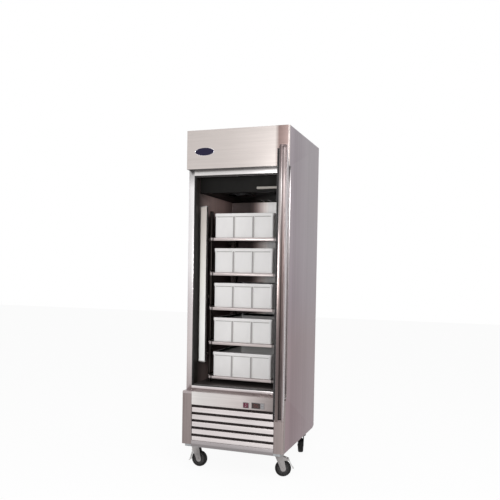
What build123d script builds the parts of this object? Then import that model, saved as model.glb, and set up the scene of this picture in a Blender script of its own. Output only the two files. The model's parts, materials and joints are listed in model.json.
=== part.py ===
from build123d import *
import os

# Upright refrigerator for crates of fish: one wide door, five crates on drip shelves,
# cooling unit under the roof, condensing unit behind the louvres, four casters.
# Lengths are millimetres, angles degrees. While it is being built, x = 0 is the middle
# of the cabinet, y = 0 the face of the header and z = 0 the floor.

# Cabinet
CABINET_WIDTH = 672.0
CABINET_DEPTH = 745.0
CABINET_HEIGHT = 1990.0
CASTER_HEIGHT = 148.0
SHEET = 1.2
HEADER_HEIGHT = 241.0
DOOR_RECESS = 43.0
MACHINE_HEIGHT = 350.0
STILE_WIDTH = 36.0
HEAD_RAIL = 35.0
SILL_RAIL = 28.0
SKIRT_GAP = 14.0
CHAMFER_DEPTH = 80.0
CHAMFER_HEIGHT = 40.0
SKIRT_CORNER_DEPTH = 35.0
SKIRT_CORNER_HEIGHT = 12.0
ROOF_WALL = 56.0
BACK_WALL = 60.0
FLOOR_WALL = 66.0
HEADER_WALL = 55.0
LINER_SHEET = 1.0
BREAKER_LEAN = 8.0
BREAKER_DEPTH = 17.0
BREAKER_WALL = 2.5

# Front of the machine compartment
PANEL_PROUD = 14.0
POST_PROUD = 14.0
POST_WIDTH = 64.0
CONTROL_HEIGHT = 82.0
LOUVRE_PITCH = 46.0
LOUVRE_GAP = 14.0
LOUVRE_COUNT = 5
LOUVRE_SIDE_BAR = 5.0
LOUVRE_BLADE_DEPTH = 14.0
BOTTOM_RAIL = 40.0
SEAM = 1.0

# Door
DOOR_THICKNESS = 40.0
DOOR_TOP_GAP = 7.0
DOOR_BOTTOM_GAP = 12.0
DOOR_SHEET = 1.0
DOOR_INNER_BAND = 15.0
GRIP_WIDTH = 17.0
GRIP_DEPTH = 14.0
GRIP_WALL = 1.5
GRIP_END_MARGIN = 10.0
GASKET_WIDTH = 14.0
GASKET_THICKNESS = 11.0
GASKET_CLEARANCE = 0.7
HINGE_INSET = 15.0
HINGE_DEPTH = 13.0
HINGE_PIN_RADIUS = 5.0
HINGE_BUSH_WALL = 3.0
HINGE_ENGAGEMENT = 16.0
HINGE_PLATE = 3.0
HINGE_PLATE_WIDTH = 38.0
DOOR_OPEN = 105.4
RUNNING_CLEARANCE = 0.05
SEAT_CLEARANCE = 0.3

# Crates and what carries them
CRATE_COUNT = 5
CRATE_HEADROOM = 128.0
CRATE_FLOOR_GAP = 46.0
CRATE_WIDTH = 400.0
CRATE_REAR_GAP = 13.0
CRATE_HEIGHT = 157.0
CRATE_FRONT = 142.0
CRATE_WALL = 3.0
CRATE_RIM = 20.0
CRATE_STEP = 4.0
CRATE_CORNER = 14.0
CRATE_RIB = 15.0
CRATE_FRONT_RIB_X = 65.5
CRATE_SIDE_RIBS = 5
SHELF_MARGIN = 21.0
SHELF_FRONT = 135.0
SHELF_LIP = 18.0
SHELF_REAR_GAP = 6.0
SHELF_SIDE_CLEARANCE = 3.0
RUNNER_LEG = 18.0
RUNNER_SHEET = 2.0
UPRIGHT_WIDTH = 15.0
UPRIGHT_DEPTH = 25.0
UPRIGHT_FRONT = 180.0
UPRIGHT_REAR_GAP = 65.0
UPRIGHT_SPACER = 20.0
UPRIGHT_SPACER_COUNT = 3

# Lamps
LAMP_WIDTH = 45.0
LAMP_DEPTH = 14.0
LAMP_BODY_DEPTH = 10.0
LAMP_CAP = 8.0
SIDE_LAMP_FRONT = 110.0
SIDE_LAMP_WALL_GAP = 7.0
SIDE_LAMP_FLOOR_GAP = 135.0
SIDE_LAMP_TOP_GAP = 81.0
TOP_LAMP_LENGTH = 153.0
TOP_LAMP_HEIGHT = 16.0
TOP_LAMP_INSET = 29.0
TOP_LAMP_RISE = 14.5

# Cooling unit under the roof
COOLER_FRONT = 110.0
COOLER_HEIGHT = 323.0
COOLER_SIDE_GAP = 6.0
FAN_RADIUS = 92.0
FAN_TIP_CLEARANCE = 4.0
FAN_HUB_RADIUS = 20.0
FAN_BLADE_PITCH = 28.0
FAN_BLADE_CHORD = 52.0
FAN_BLADE_COUNT = 5
FAN_HUB_LENGTH = 28.0
FAN_STAND = 4.0
FAN_SHAFT_RADIUS = 4.0
FAN_SHAFT_ENGAGEMENT = 12.0
MOTOR_RADIUS = 38.0
MOTOR_LENGTH = 46.0
MOTOR_BAR = 12.0
MOTOR_BAR_SHEET = 3.0
COOLER_FAN_X = -60.0
COOLER_FAN_Y = 262.0
EVAPORATOR_WIDTH = 440.0
EVAPORATOR_REAR_GAP = 55.0
EVAPORATOR_DEPTH = 210.0
EVAPORATOR_HEIGHT = 220.0
FIN_PITCH = 20.0
FIN_SHEET = 1.0
COIL_TUBE_RADIUS = 5.0

# Condensing unit
BASE_PLATE = 2.0
BASE_RAIL_WIDTH = 68.0
CONDENSER_WIDTH = 300.0
CONDENSER_HEIGHT = 220.0
CONDENSER_DEPTH = 50.0
CONDENSER_FRONT = 10.0
CONDENSER_X = -40.0
SHROUD_DEPTH = 24.0
COMPRESSOR_RADIUS = 84.0
COMPRESSOR_HEIGHT = 150.0
COMPRESSOR_X = 190.0
COMPRESSOR_Y = 330.0
COMPRESSOR_FOOT = 12.0
DRAIN_PAN_WIDTH = 330.0
DRAIN_PAN_DEPTH = 190.0
DRAIN_PAN_HEIGHT = 34.0
DRAIN_PAN_X = -110.0
DRAIN_PAN_REAR_GAP = 20.0
PIPE_RADIUS = 5.0
PIPE_BEND = 25.0
CHASE_WIDTH = 40.0
CHASE_INSET = 67.0

# Controls
SWITCH_INSET = 178.7
SWITCH_HEIGHT = 34.6
SWITCH_WIDTH = 38.2
SWITCH_DROP = 56.7
SWITCH_BODY = 22.0
ROCKER_PIN = 1.5
ROCKER_PIVOT_DEPTH = 3.0
ROCKER_TILT = 7.0
BEZEL_PROUD = 3.0
BEZEL_RIM = 2.8
CONTROLLER_INSET = 101.7
CONTROLLER_DROP = 54.7
DISPLAY_MARGIN = 2.0
CONTROLLER_WIDTH = 82.6
CONTROLLER_HEIGHT = 37.5
CONTROLLER_DEPTH = 48.0
DISPLAY_WIDTH = 55.5
DISPLAY_HEIGHT = 33.5
KEY_WIDTH = 13.0
KEY_HEIGHT = 9.0
KEY_SPREAD = 14.0
KEY_TRAVEL = 0.8

# Badge and rear
BADGE_WIDTH = 131.0
BADGE_HEIGHT = 50.0
BADGE_INSET = 122.0
BADGE_DROP = 135.0
BADGE_SHEET = 1.5
REAR_SLOT_HEIGHT = 10.0
REAR_SLOT_PITCH = 26.0
REAR_SLOT_COUNT = 8
REAR_SLOT_LENGTH = 180.0
SCREW_HEAD_RADIUS = 4.0
SCREW_HEAD_HEIGHT = 2.0
SCREW_SHANK_RADIUS = 2.0
SCREW_LENGTH = 8.0
REAR_INSET = 3.0
GLAND_RADIUS = 13.0
GLAND_NUT = 6.0

# Casters
WHEEL_RADIUS = 50.0
WHEEL_WIDTH = 32.0
WHEEL_SIDE_CLEARANCE = 1.0
CASTER_INSET = 56.0
CASTER_FRONT_Y = 80.0
CASTER_REAR_INSET = 130.0
CASTER_TRAIL = 28.0
CASTER_PLATE = 4.0
CASTER_PLATE_WIDTH = 66.0
CASTER_PLATE_LENGTH = 92.0
RACE_RADIUS = 33.0
RACE_HEIGHT = 8.0
CROWN_HEIGHT = 8.0
FORK_SHEET = 2.5
FORK_FOOT_RADIUS = 17.0
AXLE_RADIUS = 5.0
KINGPIN_RADIUS = 6.0
FRONT_RIGHT_HEADING = 20.0
REAR_HEADING = 110.0
PEDAL_WIDTH = 30.0
PEDAL_SHEET = 3.0
PEDAL_PIN_RADIUS = 2.5

# Levels and lines that follow
HALF_WIDTH = CABINET_WIDTH / 2
INNER_HALF = HALF_WIDTH - SHEET
UNDERSIDE = CASTER_HEIGHT
ROOF = UNDERSIDE + CABINET_HEIGHT
LEDGE_TOP = UNDERSIDE + MACHINE_HEIGHT
HEADER_BOTTOM = ROOF - HEADER_HEIGHT
OPENING_HALF = HALF_WIDTH - STILE_WIDTH
OPENING_BOTTOM = LEDGE_TOP + SILL_RAIL
OPENING_TOP = HEADER_BOTTOM - HEAD_RAIL
FRAME_BACK = DOOR_RECESS + SHEET
BACK_INNER = CABINET_DEPTH - SHEET
SKIRT_BOTTOM = UNDERSIDE + SKIRT_GAP
BASE_TOP = SKIRT_BOTTOM + BASE_PLATE
LINER_FRONT = DOOR_RECESS + BREAKER_DEPTH
LINER_BACK = CABINET_DEPTH - BACK_WALL
LINER_HALF = OPENING_HALF - BREAKER_LEAN
LINER_FLOOR = OPENING_BOTTOM + BREAKER_LEAN
LINER_HEAD = OPENING_TOP - BREAKER_LEAN
LINER_CEILING = ROOF - ROOF_WALL
LINER_FLANGE = BREAKER_LEAN + BREAKER_WALL + SEAT_CLEARANCE
HEADER_WALL_BACK = DOOR_RECESS + HEADER_WALL
FOAM_BOTTOM = LINER_FLOOR - FLOOR_WALL
PANEL_FRONT = -PANEL_PROUD
PANEL_BACK = PANEL_FRONT + SHEET
PANEL_HALF = HALF_WIDTH - POST_WIDTH
LEDGE_UNDER = LEDGE_TOP - SHEET
CONTROL_BOTTOM = LEDGE_TOP - CONTROL_HEIGHT
DOOR_BACK = DOOR_RECESS - GASKET_THICKNESS - GASKET_CLEARANCE
DOOR_FRONT = DOOR_BACK - DOOR_THICKNESS
DOOR_BOTTOM = LEDGE_TOP + DOOR_BOTTOM_GAP
DOOR_TOP = HEADER_BOTTOM - DOOR_TOP_GAP
DOOR_SPLIT = DOOR_BACK - DOOR_INNER_BAND
GRIP_FRONT = DOOR_SPLIT - GRIP_WIDTH
GRIP_BOTTOM = DOOR_BOTTOM + GRIP_END_MARGIN
GRIP_TOP = DOOR_TOP - GRIP_END_MARGIN
PIVOT_X = HALF_WIDTH - HINGE_INSET
PIVOT_Y = DOOR_FRONT + HINGE_DEPTH
BUSH_RADIUS = HINGE_PIN_RADIUS + RUNNING_CLEARANCE + HINGE_BUSH_WALL
SHELF_HALF = CRATE_WIDTH / 2 + SHELF_MARGIN
SHELF_BACK = LINER_BACK - SHELF_REAR_GAP
CRATE_LENGTH = LINER_BACK - CRATE_REAR_GAP - CRATE_FRONT
UPRIGHT_REAR = LINER_BACK - UPRIGHT_REAR_GAP
RUNNER_FACE = SHELF_HALF + SHELF_SIDE_CLEARANCE
UPRIGHT_FACE = RUNNER_FACE + RUNNER_SHEET
COOLER_HALF = LINER_HALF - COOLER_SIDE_GAP
COOLER_BOTTOM = LINER_CEILING - COOLER_HEIGHT
CRATE_TOP = COOLER_BOTTOM - CRATE_HEADROOM
CRATE_PITCH = (CRATE_TOP - CRATE_HEIGHT - CRATE_FLOOR_GAP - LINER_FLOOR) / (CRATE_COUNT - 1)
SIDE_LAMP_BOTTOM = LINER_FLOOR + SIDE_LAMP_FLOOR_GAP
SIDE_LAMP_LENGTH = COOLER_BOTTOM - SIDE_LAMP_TOP_GAP - SIDE_LAMP_BOTTOM
EVAPORATOR_FRONT = LINER_BACK - EVAPORATOR_REAR_GAP - EVAPORATOR_DEPTH
TOP_LAMP_RIGHT = COOLER_HALF - TOP_LAMP_INSET
FAN_HOLE = FAN_RADIUS + FAN_TIP_CLEARANCE
CASTER_X = HALF_WIDTH - CASTER_INSET
CASTER_REAR_Y = CABINET_DEPTH - CASTER_REAR_INSET
DRAIN_PAN_Y = CABINET_DEPTH - CHAMFER_DEPTH - DRAIN_PAN_REAR_GAP - DRAIN_PAN_DEPTH / 2
CHASE_X = LINER_HALF - CHASE_INSET
BADGE_X = -HALF_WIDTH + BADGE_INSET
PLATE_BOTTOM = UNDERSIDE - CASTER_PLATE
RACE_BOTTOM = PLATE_BOTTOM - RACE_HEIGHT
CROWN_TOP = RACE_BOTTOM - SEAT_CLEARANCE
CROWN_BOTTOM = CROWN_TOP - CROWN_HEIGHT
FORK_INNER = WHEEL_WIDTH / 2 + WHEEL_SIDE_CLEARANCE
FORK_OUTER = FORK_INNER + FORK_SHEET
COOLER_FAN_Z = COOLER_BOTTOM + SHEET + FAN_STAND
CONDENSER_BACK = CONDENSER_FRONT + CONDENSER_DEPTH
SHROUD_BACK = CONDENSER_BACK + SHROUD_DEPTH
CONDENSER_FAN_Z = BASE_TOP + CONDENSER_HEIGHT / 2
PIPE_CHASE_Y = LINER_BACK + BACK_WALL / 2
PIPE_TOP = LINER_CEILING - COOLER_HEIGHT / 2
REAR_OUTER = CABINET_DEPTH - REAR_INSET
REAR_INNER = REAR_OUTER - SHEET
SWITCH_X = PANEL_HALF - SWITCH_INSET
SWITCH_Z = LEDGE_TOP - SWITCH_DROP
CONTROLLER_X = PANEL_HALF - CONTROLLER_INSET
ROCKER_PIVOT_Y = PANEL_FRONT + ROCKER_PIVOT_DEPTH
ROCKER_WIDTH = SWITCH_WIDTH - 2 * BEZEL_RIM
ROCKER_HALF = SWITCH_HEIGHT / 2 - BEZEL_RIM - SEAT_CLEARANCE
CONTROLLER_Z = LEDGE_TOP - CONTROLLER_DROP
KEY_X = CONTROLLER_X + CONTROLLER_WIDTH / 2 - KEY_WIDTH
DISPLAY_X = CONTROLLER_X - CONTROLLER_WIDTH / 2 + DISPLAY_WIDTH / 2 + DISPLAY_MARGIN


def block(x0, x1, y0, y1, z0, z1):
    """A box between two corners."""
    return Pos((x0 + x1) / 2, (y0 + y1) / 2, (z0 + z1) / 2) * Box(x1 - x0, y1 - y0, z1 - z0)


def rod(start, end, radius):
    """A round bar between two points."""
    axis = Vector(*end) - Vector(*start)
    face = Plane(origin=start, z_dir=axis) * Circle(radius)
    return extrude(face, amount=axis.length, dir=axis.normalized())


def slab_x(points, x0, x1):
    """A plate whose outline is given as (y, z)."""
    face = Plane.YZ.offset(x0) * Polygon(*points, align=None)
    return extrude(face, amount=x1 - x0, dir=(1, 0, 0))


def slab_y(points, y0, y1):
    """A plate whose outline is given as (x, z)."""
    face = Plane.XZ.offset(-y0) * Polygon(*points, align=None)
    return extrude(face, amount=y1 - y0, dir=(0, 1, 0))


def slab_z(points, z0, z1):
    """A plate whose outline is given as (x, y)."""
    face = Pos(0, 0, z0) * Polygon(*points, align=None)
    return extrude(face, amount=z1 - z0, dir=(0, 0, 1))


def rounded_block(width, length, radius, z0, z1):
    """An upright box about the origin with round corners."""
    face = Pos(0, 0, z0) * RectangleRounded(width, length, radius)
    return extrude(face, amount=z1 - z0, dir=(0, 0, 1))


def twin(shape):
    """The same shape on the other side of the cabinet."""
    return mirror(shape, about=Plane.YZ)


def group(solids):
    """Separate solids that share one node."""
    return Compound(children=list(solids))


# Cabinet shell

def side_panel():
    outline = [
        (-POST_PROUD + SHEET, SKIRT_BOTTOM),
        (-POST_PROUD + SHEET, LEDGE_UNDER),
        (DOOR_RECESS, LEDGE_UNDER),
        (DOOR_RECESS, HEADER_BOTTOM),
        (SHEET, HEADER_BOTTOM),
        (SHEET, ROOF),
        (CABINET_DEPTH, ROOF),
        (CABINET_DEPTH, SKIRT_BOTTOM + SKIRT_CORNER_HEIGHT),
        (CABINET_DEPTH - SKIRT_CORNER_DEPTH, SKIRT_BOTTOM),
    ]
    return slab_x(outline, INNER_HALF, HALF_WIDTH)


def header_fascia():
    face = block(-HALF_WIDTH, HALF_WIDTH, 0, SHEET, HEADER_BOTTOM, ROOF)
    soffit = block(-INNER_HALF, INNER_HALF, 0, DOOR_RECESS, HEADER_BOTTOM, HEADER_BOTTOM + SHEET)
    return face + soffit


def badge_plate():
    face = Plane.XZ * Ellipse(BADGE_WIDTH / 2, BADGE_HEIGHT / 2)
    plate = extrude(face, amount=BADGE_SHEET, dir=(0, -1, 0))
    return Pos(BADGE_X, 0, ROOF - BADGE_DROP) * plate


def top_panel():
    return block(-INNER_HALF, INNER_HALF, SHEET, BACK_INNER, ROOF - SHEET, ROOF)


def back_panel():
    return block(-INNER_HALF, INNER_HALF, BACK_INNER, CABINET_DEPTH, FOAM_BOTTOM, ROOF)


def door_frame():
    """The flat band round the opening that the gasket closes on."""
    stile = block(OPENING_HALF, INNER_HALF, DOOR_RECESS, FRAME_BACK, LEDGE_TOP, HEADER_BOTTOM)
    head = block(-OPENING_HALF, OPENING_HALF, DOOR_RECESS, FRAME_BACK, OPENING_TOP, HEADER_BOTTOM)
    sill = block(-OPENING_HALF, OPENING_HALF, DOOR_RECESS, FRAME_BACK, LEDGE_TOP, OPENING_BOTTOM)
    return group([stile, twin(stile), head, sill])


def breaker_trim():
    """Leaning plastic strips that keep the steel frame apart from the cold liner."""
    side = slab_z(
        [
            (OPENING_HALF, FRAME_BACK),
            (LINER_HALF, LINER_FRONT),
            (LINER_HALF + BREAKER_WALL, LINER_FRONT),
            (OPENING_HALF + BREAKER_WALL, FRAME_BACK),
        ],
        OPENING_BOTTOM,
        OPENING_TOP,
    )
    top = slab_x(
        [
            (FRAME_BACK, OPENING_TOP),
            (LINER_FRONT, LINER_HEAD),
            (LINER_FRONT, LINER_HEAD + BREAKER_WALL),
            (FRAME_BACK, OPENING_TOP + BREAKER_WALL),
        ],
        -LINER_HALF,
        LINER_HALF,
    )
    bottom = slab_x(
        [
            (FRAME_BACK, OPENING_BOTTOM),
            (LINER_FRONT, LINER_FLOOR),
            (LINER_FRONT, LINER_FLOOR - BREAKER_WALL),
            (FRAME_BACK, OPENING_BOTTOM - BREAKER_WALL),
        ],
        -LINER_HALF,
        LINER_HALF,
    )
    top = top - side - twin(side)
    bottom = bottom - side - twin(side)
    return group([side, twin(side), top, bottom])


def cold_space(grow):
    """The room inside the liner, made larger on every side but the open front."""
    half = LINER_HALF + grow
    whole = block(-half, half, LINER_FRONT, LINER_BACK + grow, LINER_FLOOR - grow, LINER_CEILING + grow)
    header = block(
        -half, half, LINER_FRONT, HEADER_WALL_BACK - grow, LINER_HEAD + grow, LINER_CEILING + grow
    )
    return whole - header


def pipe_chase():
    """The way that the refrigerant pipes take through the back wall."""
    left = CHASE_X - CHASE_WIDTH / 2
    right = CHASE_X + CHASE_WIDTH / 2
    front = PIPE_CHASE_Y - CHASE_WIDTH / 2
    back = PIPE_CHASE_Y + CHASE_WIDTH / 2
    top = PIPE_TOP + CHASE_WIDTH / 2
    upright = block(left, right, front, back, FOAM_BOTTOM, top)
    exit_hole = block(left, right, LINER_BACK, front, top - CHASE_WIDTH, top)
    return upright + exit_hole


def inner_liner():
    shell = cold_space(LINER_SHEET) - cold_space(0)
    reach = LINER_HALF + LINER_FLANGE
    flange = block(
        -reach, reach, LINER_FRONT, LINER_FRONT + LINER_SHEET,
        LINER_FLOOR - LINER_FLANGE, LINER_HEAD + LINER_FLANGE,
    )
    flange = flange - block(
        -LINER_HALF, LINER_HALF, LINER_FRONT, LINER_FRONT + LINER_SHEET, LINER_FLOOR, LINER_HEAD
    )
    return shell + flange - pipe_chase()


def foam_insulation():
    """Five boards of foam and one in the header, round the liner."""
    edge = LINER_HALF + LINER_SHEET
    floor_top = LINER_FLOOR - LINER_SHEET
    ceiling = LINER_CEILING + LINER_SHEET
    back = LINER_BACK + LINER_SHEET
    head = LINER_HEAD + LINER_SHEET
    header_back = HEADER_WALL_BACK - LINER_SHEET
    roof = ROOF - SHEET
    reach = LINER_HALF + LINER_FLANGE
    front_trim = block(
        -reach, reach, FRAME_BACK, LINER_FRONT + LINER_SHEET,
        LINER_FLOOR - LINER_FLANGE, LINER_HEAD + LINER_FLANGE,
    )
    side = block(edge, INNER_HALF, FRAME_BACK, BACK_INNER, FOAM_BOTTOM, roof) - front_trim
    floor = block(-edge, edge, FRAME_BACK, back, FOAM_BOTTOM, floor_top) - front_trim
    header = block(-edge, edge, FRAME_BACK, header_back, head, roof) - front_trim
    top = block(-edge, edge, header_back, back, ceiling, roof)
    rear = block(-edge, edge, back, BACK_INNER, FOAM_BOTTOM, roof) - pipe_chase()
    return group([side, twin(side), floor, header, top, rear])


# Front of the machine compartment

def corner_posts():
    post = slab_z(
        [
            (HALF_WIDTH, -POST_PROUD),
            (PANEL_HALF, PANEL_FRONT),
            (PANEL_HALF, PANEL_BACK),
            (HALF_WIDTH, -POST_PROUD + SHEET),
        ],
        SKIRT_BOTTOM,
        LEDGE_UNDER,
    )
    return group([post, twin(post)])


def control_panel():
    """A folded sheet: the ledge under the door and the face with its two cut-outs."""
    ledge = slab_z(
        [
            (-HALF_WIDTH, -POST_PROUD),
            (-PANEL_HALF, PANEL_FRONT),
            (PANEL_HALF, PANEL_FRONT),
            (HALF_WIDTH, -POST_PROUD),
            (HALF_WIDTH, DOOR_RECESS),
            (-HALF_WIDTH, DOOR_RECESS),
        ],
        LEDGE_UNDER,
        LEDGE_TOP,
    )
    face = block(-PANEL_HALF, PANEL_HALF, PANEL_FRONT, PANEL_BACK, CONTROL_BOTTOM, LEDGE_UNDER)
    face = face - switch_sleeve_block() - controller_body_block()
    return ledge + face


def louvre_grille():
    """A pressed sheet with long slots and a hood behind each, over a bottom rail."""
    bottom = UNDERSIDE + BOTTOM_RAIL + SEAM
    sheet = block(-PANEL_HALF, PANEL_HALF, PANEL_FRONT, PANEL_BACK, bottom, CONTROL_BOTTOM - SEAM)
    half = PANEL_HALF - LOUVRE_SIDE_BAR
    for number in range(LOUVRE_COUNT):
        top = CONTROL_BOTTOM - SEAM - LOUVRE_PITCH * number
        low = top - LOUVRE_GAP
        slot_top = top - SHEET if number == 0 else top
        sheet -= block(-half, half, PANEL_FRONT, PANEL_BACK, low, slot_top)
        inner = PANEL_BACK + LOUVRE_BLADE_DEPTH
        hood = [(PANEL_BACK, low), (PANEL_BACK, low - SHEET), (inner, top - SHEET), (inner, top)]
        sheet += slab_x(hood, -half, half)
    rail_face = block(
        -PANEL_HALF, PANEL_HALF, PANEL_FRONT, PANEL_BACK, UNDERSIDE, UNDERSIDE + BOTTOM_RAIL
    )
    lip_back = -POST_PROUD + SHEET
    lip = block(-PANEL_HALF, PANEL_HALF, PANEL_FRONT, lip_back, UNDERSIDE, UNDERSIDE + SHEET)
    return group([sheet, rail_face + lip])


def base_frame():
    """Welded rails that carry the casters, and the pan that the machinery stands on."""
    front = -POST_PROUD + SHEET
    back = CABINET_DEPTH - CHAMFER_DEPTH
    outer = CASTER_X + BASE_RAIL_WIDTH / 2
    inner = CASTER_X - BASE_RAIL_WIDTH / 2
    side_rail = block(inner, outer, front, back, UNDERSIDE, SKIRT_BOTTOM)
    front_rail = block(-inner, inner, front, front + BASE_RAIL_WIDTH, UNDERSIDE, SKIRT_BOTTOM)
    rear_rail = block(-inner, inner, back - BASE_RAIL_WIDTH, back, UNDERSIDE, SKIRT_BOTTOM)
    pan = block(-INNER_HALF, INNER_HALF, front, back, SKIRT_BOTTOM, BASE_TOP)
    slope = slab_x(
        [
            (back, SKIRT_BOTTOM),
            (CABINET_DEPTH, SKIRT_BOTTOM + CHAMFER_HEIGHT),
            (CABINET_DEPTH, SKIRT_BOTTOM + CHAMFER_HEIGHT + BASE_PLATE),
            (back, BASE_TOP),
        ],
        -INNER_HALF,
        INNER_HALF,
    )
    return group([side_rail, twin(side_rail), front_rail, rear_rail, pan, slope])


# Rear of the machine compartment

def screw_places():
    """Where the six screws of the rear grille go, as (x, z)."""
    inset = 4 * SCREW_HEAD_RADIUS
    bottom = SKIRT_BOTTOM + CHAMFER_HEIGHT
    heights = (bottom + inset, (bottom + FOAM_BOTTOM) / 2, FOAM_BOTTOM - inset)
    return [(side * (INNER_HALF - inset), height) for side in (-1, 1) for height in heights]


def rear_grille():
    """A slotted sheet over the machine compartment, set in behind the back panel's face."""
    bottom = SKIRT_BOTTOM + CHAMFER_HEIGHT + BASE_PLATE
    sheet = block(-INNER_HALF, INNER_HALF, REAR_INNER, REAR_OUTER, bottom, FOAM_BOTTOM)
    middle = (bottom + FOAM_BOTTOM) / 2
    near = REAR_SLOT_PITCH / 2
    for number in range(REAR_SLOT_COUNT):
        low = middle + (number - REAR_SLOT_COUNT / 2) * REAR_SLOT_PITCH
        slot = block(near, near + REAR_SLOT_LENGTH, REAR_INNER, REAR_OUTER, low, low + REAR_SLOT_HEIGHT)
        sheet = sheet - slot - twin(slot)
    for x, z in screw_places():
        sheet -= rod((x, REAR_INNER, z), (x, REAR_OUTER, z), SCREW_SHANK_RADIUS)
    return sheet


def panel_screws():
    """Pan-head screws that hold the rear grille."""
    screws = []
    for x, z in screw_places():
        shank = rod((x, REAR_OUTER - SCREW_LENGTH, z), (x, REAR_OUTER, z), SCREW_SHANK_RADIUS)
        head = rod((x, REAR_OUTER, z), (x, REAR_OUTER + SCREW_HEAD_HEIGHT, z), SCREW_HEAD_RADIUS)
        screws.append(shank + head)
    return group(screws)


def cable_gland():
    """The strain relief in the sloping rear edge of the pan."""
    middle_y = CABINET_DEPTH - CHAMFER_DEPTH / 2
    middle_z = SKIRT_BOTTOM + CHAMFER_HEIGHT / 2
    outward = Vector(0, CHAMFER_HEIGHT, -CHAMFER_DEPTH).normalized()
    base = Vector(-CHASE_X, middle_y, middle_z)
    nut = extrude(
        Plane(origin=base, z_dir=outward) * RegularPolygon(GLAND_RADIUS, 6), amount=GLAND_NUT, dir=outward
    )
    dome_base = base + outward * GLAND_NUT
    dome = rod(tuple(dome_base), tuple(dome_base + outward * GLAND_NUT), GLAND_RADIUS * 0.7)
    bore = rod(tuple(base), tuple(dome_base + outward * GLAND_NUT * 1.5), GLAND_RADIUS * 0.35)
    return nut + dome - bore


# Door, built closed and swung open at the end

def grip_space(margin):
    return block(
        -HALF_WIDTH, -HALF_WIDTH + GRIP_DEPTH - margin, GRIP_FRONT + margin, DOOR_SPLIT - margin,
        GRIP_BOTTOM + margin, GRIP_TOP - margin,
    )


def bush_rods(radius):
    """Upright rods on the hinge line, as deep as the bushes at each end of the door."""
    low = rod((PIVOT_X, PIVOT_Y, DOOR_BOTTOM), (PIVOT_X, PIVOT_Y, DOOR_BOTTOM + HINGE_ENGAGEMENT), radius)
    high = rod((PIVOT_X, PIVOT_Y, DOOR_TOP - HINGE_ENGAGEMENT), (PIVOT_X, PIVOT_Y, DOOR_TOP), radius)
    return [low, high]


def door_skin():
    outer = block(-HALF_WIDTH, HALF_WIDTH, DOOR_FRONT, DOOR_SPLIT, DOOR_BOTTOM, DOOR_TOP)
    half = HALF_WIDTH - DOOR_SHEET
    core = block(
        -half, half, DOOR_FRONT + DOOR_SHEET, DOOR_SPLIT, DOOR_BOTTOM + DOOR_SHEET, DOOR_TOP - DOOR_SHEET
    )
    low, high = bush_rods(BUSH_RADIUS)
    return outer - core - grip_space(0) - low - high


def door_liner():
    outer = block(-HALF_WIDTH, HALF_WIDTH, DOOR_SPLIT, DOOR_BACK, DOOR_BOTTOM, DOOR_TOP)
    half = HALF_WIDTH - DOOR_SHEET
    core = block(
        -half, half, DOOR_SPLIT, DOOR_BACK - DOOR_SHEET, DOOR_BOTTOM + DOOR_SHEET, DOOR_TOP - DOOR_SHEET
    )
    return outer - core


def door_foam():
    half = HALF_WIDTH - DOOR_SHEET
    core = block(
        -half, half, DOOR_FRONT + DOOR_SHEET, DOOR_BACK - DOOR_SHEET,
        DOOR_BOTTOM + DOOR_SHEET, DOOR_TOP - DOOR_SHEET,
    )
    low, high = bush_rods(BUSH_RADIUS)
    return core - grip_space(0) - low - high


def door_grip():
    """The dark channel in the free edge that fingers reach into."""
    return grip_space(0) - grip_space(GRIP_WALL) - block(
        -HALF_WIDTH, -HALF_WIDTH + GRIP_WALL, GRIP_FRONT + GRIP_WALL, DOOR_SPLIT - GRIP_WALL,
        GRIP_BOTTOM + GRIP_WALL, GRIP_TOP - GRIP_WALL,
    )


def gasket_ring(side_in, side_out, y0, y1):
    """A frame-shaped ring about the opening, between two distances outside its edge."""
    outer = block(
        -OPENING_HALF - side_out, OPENING_HALF + side_out, y0, y1,
        OPENING_BOTTOM - side_out, OPENING_TOP + side_out,
    )
    inner = block(
        -OPENING_HALF - side_in, OPENING_HALF + side_in, y0, y1,
        OPENING_BOTTOM - side_in, OPENING_TOP + side_in,
    )
    return outer - inner


def door_gasket():
    """A ring of soft strip: a flat foot on the door and a narrower bellows on it."""
    foot_top = DOOR_BACK + GASKET_THICKNESS / 3
    shoulder = GASKET_WIDTH / 8
    foot = gasket_ring(0, GASKET_WIDTH, DOOR_BACK, foot_top)
    bellows = gasket_ring(shoulder, GASKET_WIDTH - shoulder, foot_top, DOOR_BACK + GASKET_THICKNESS)
    return foot + bellows


def hinge_bushes():
    bore = HINGE_PIN_RADIUS + RUNNING_CLEARANCE
    return group([outer - inner for outer, inner in zip(bush_rods(BUSH_RADIUS), bush_rods(bore))])


def hinge_brackets():
    """A plate with a pin on the ledge and one under the header."""
    left = PIVOT_X - HINGE_PLATE_WIDTH / 2
    right = min(PIVOT_X + HINGE_PLATE_WIDTH / 2, HALF_WIDTH - SHEET)
    front = PIVOT_Y - BUSH_RADIUS
    back = DOOR_RECESS - SHEET
    reach = HINGE_ENGAGEMENT - SEAT_CLEARANCE
    low_plate = block(left, right, front, back, LEDGE_TOP, LEDGE_TOP + HINGE_PLATE)
    low_pin = rod((PIVOT_X, PIVOT_Y, LEDGE_TOP), (PIVOT_X, PIVOT_Y, DOOR_BOTTOM + reach), HINGE_PIN_RADIUS)
    collar = rod(
        (PIVOT_X, PIVOT_Y, LEDGE_TOP), (PIVOT_X, PIVOT_Y, DOOR_BOTTOM - SEAT_CLEARANCE), BUSH_RADIUS
    )
    high_plate = block(left, right, front, back, HEADER_BOTTOM - HINGE_PLATE, HEADER_BOTTOM)
    high_pin = rod(
        (PIVOT_X, PIVOT_Y, DOOR_TOP - reach), (PIVOT_X, PIVOT_Y, HEADER_BOTTOM), HINGE_PIN_RADIUS
    )
    return group([low_plate + low_pin + collar, high_plate + high_pin])


# Crates, shelves and rack

def crate_top(number):
    return CRATE_TOP - CRATE_PITCH * number


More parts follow.
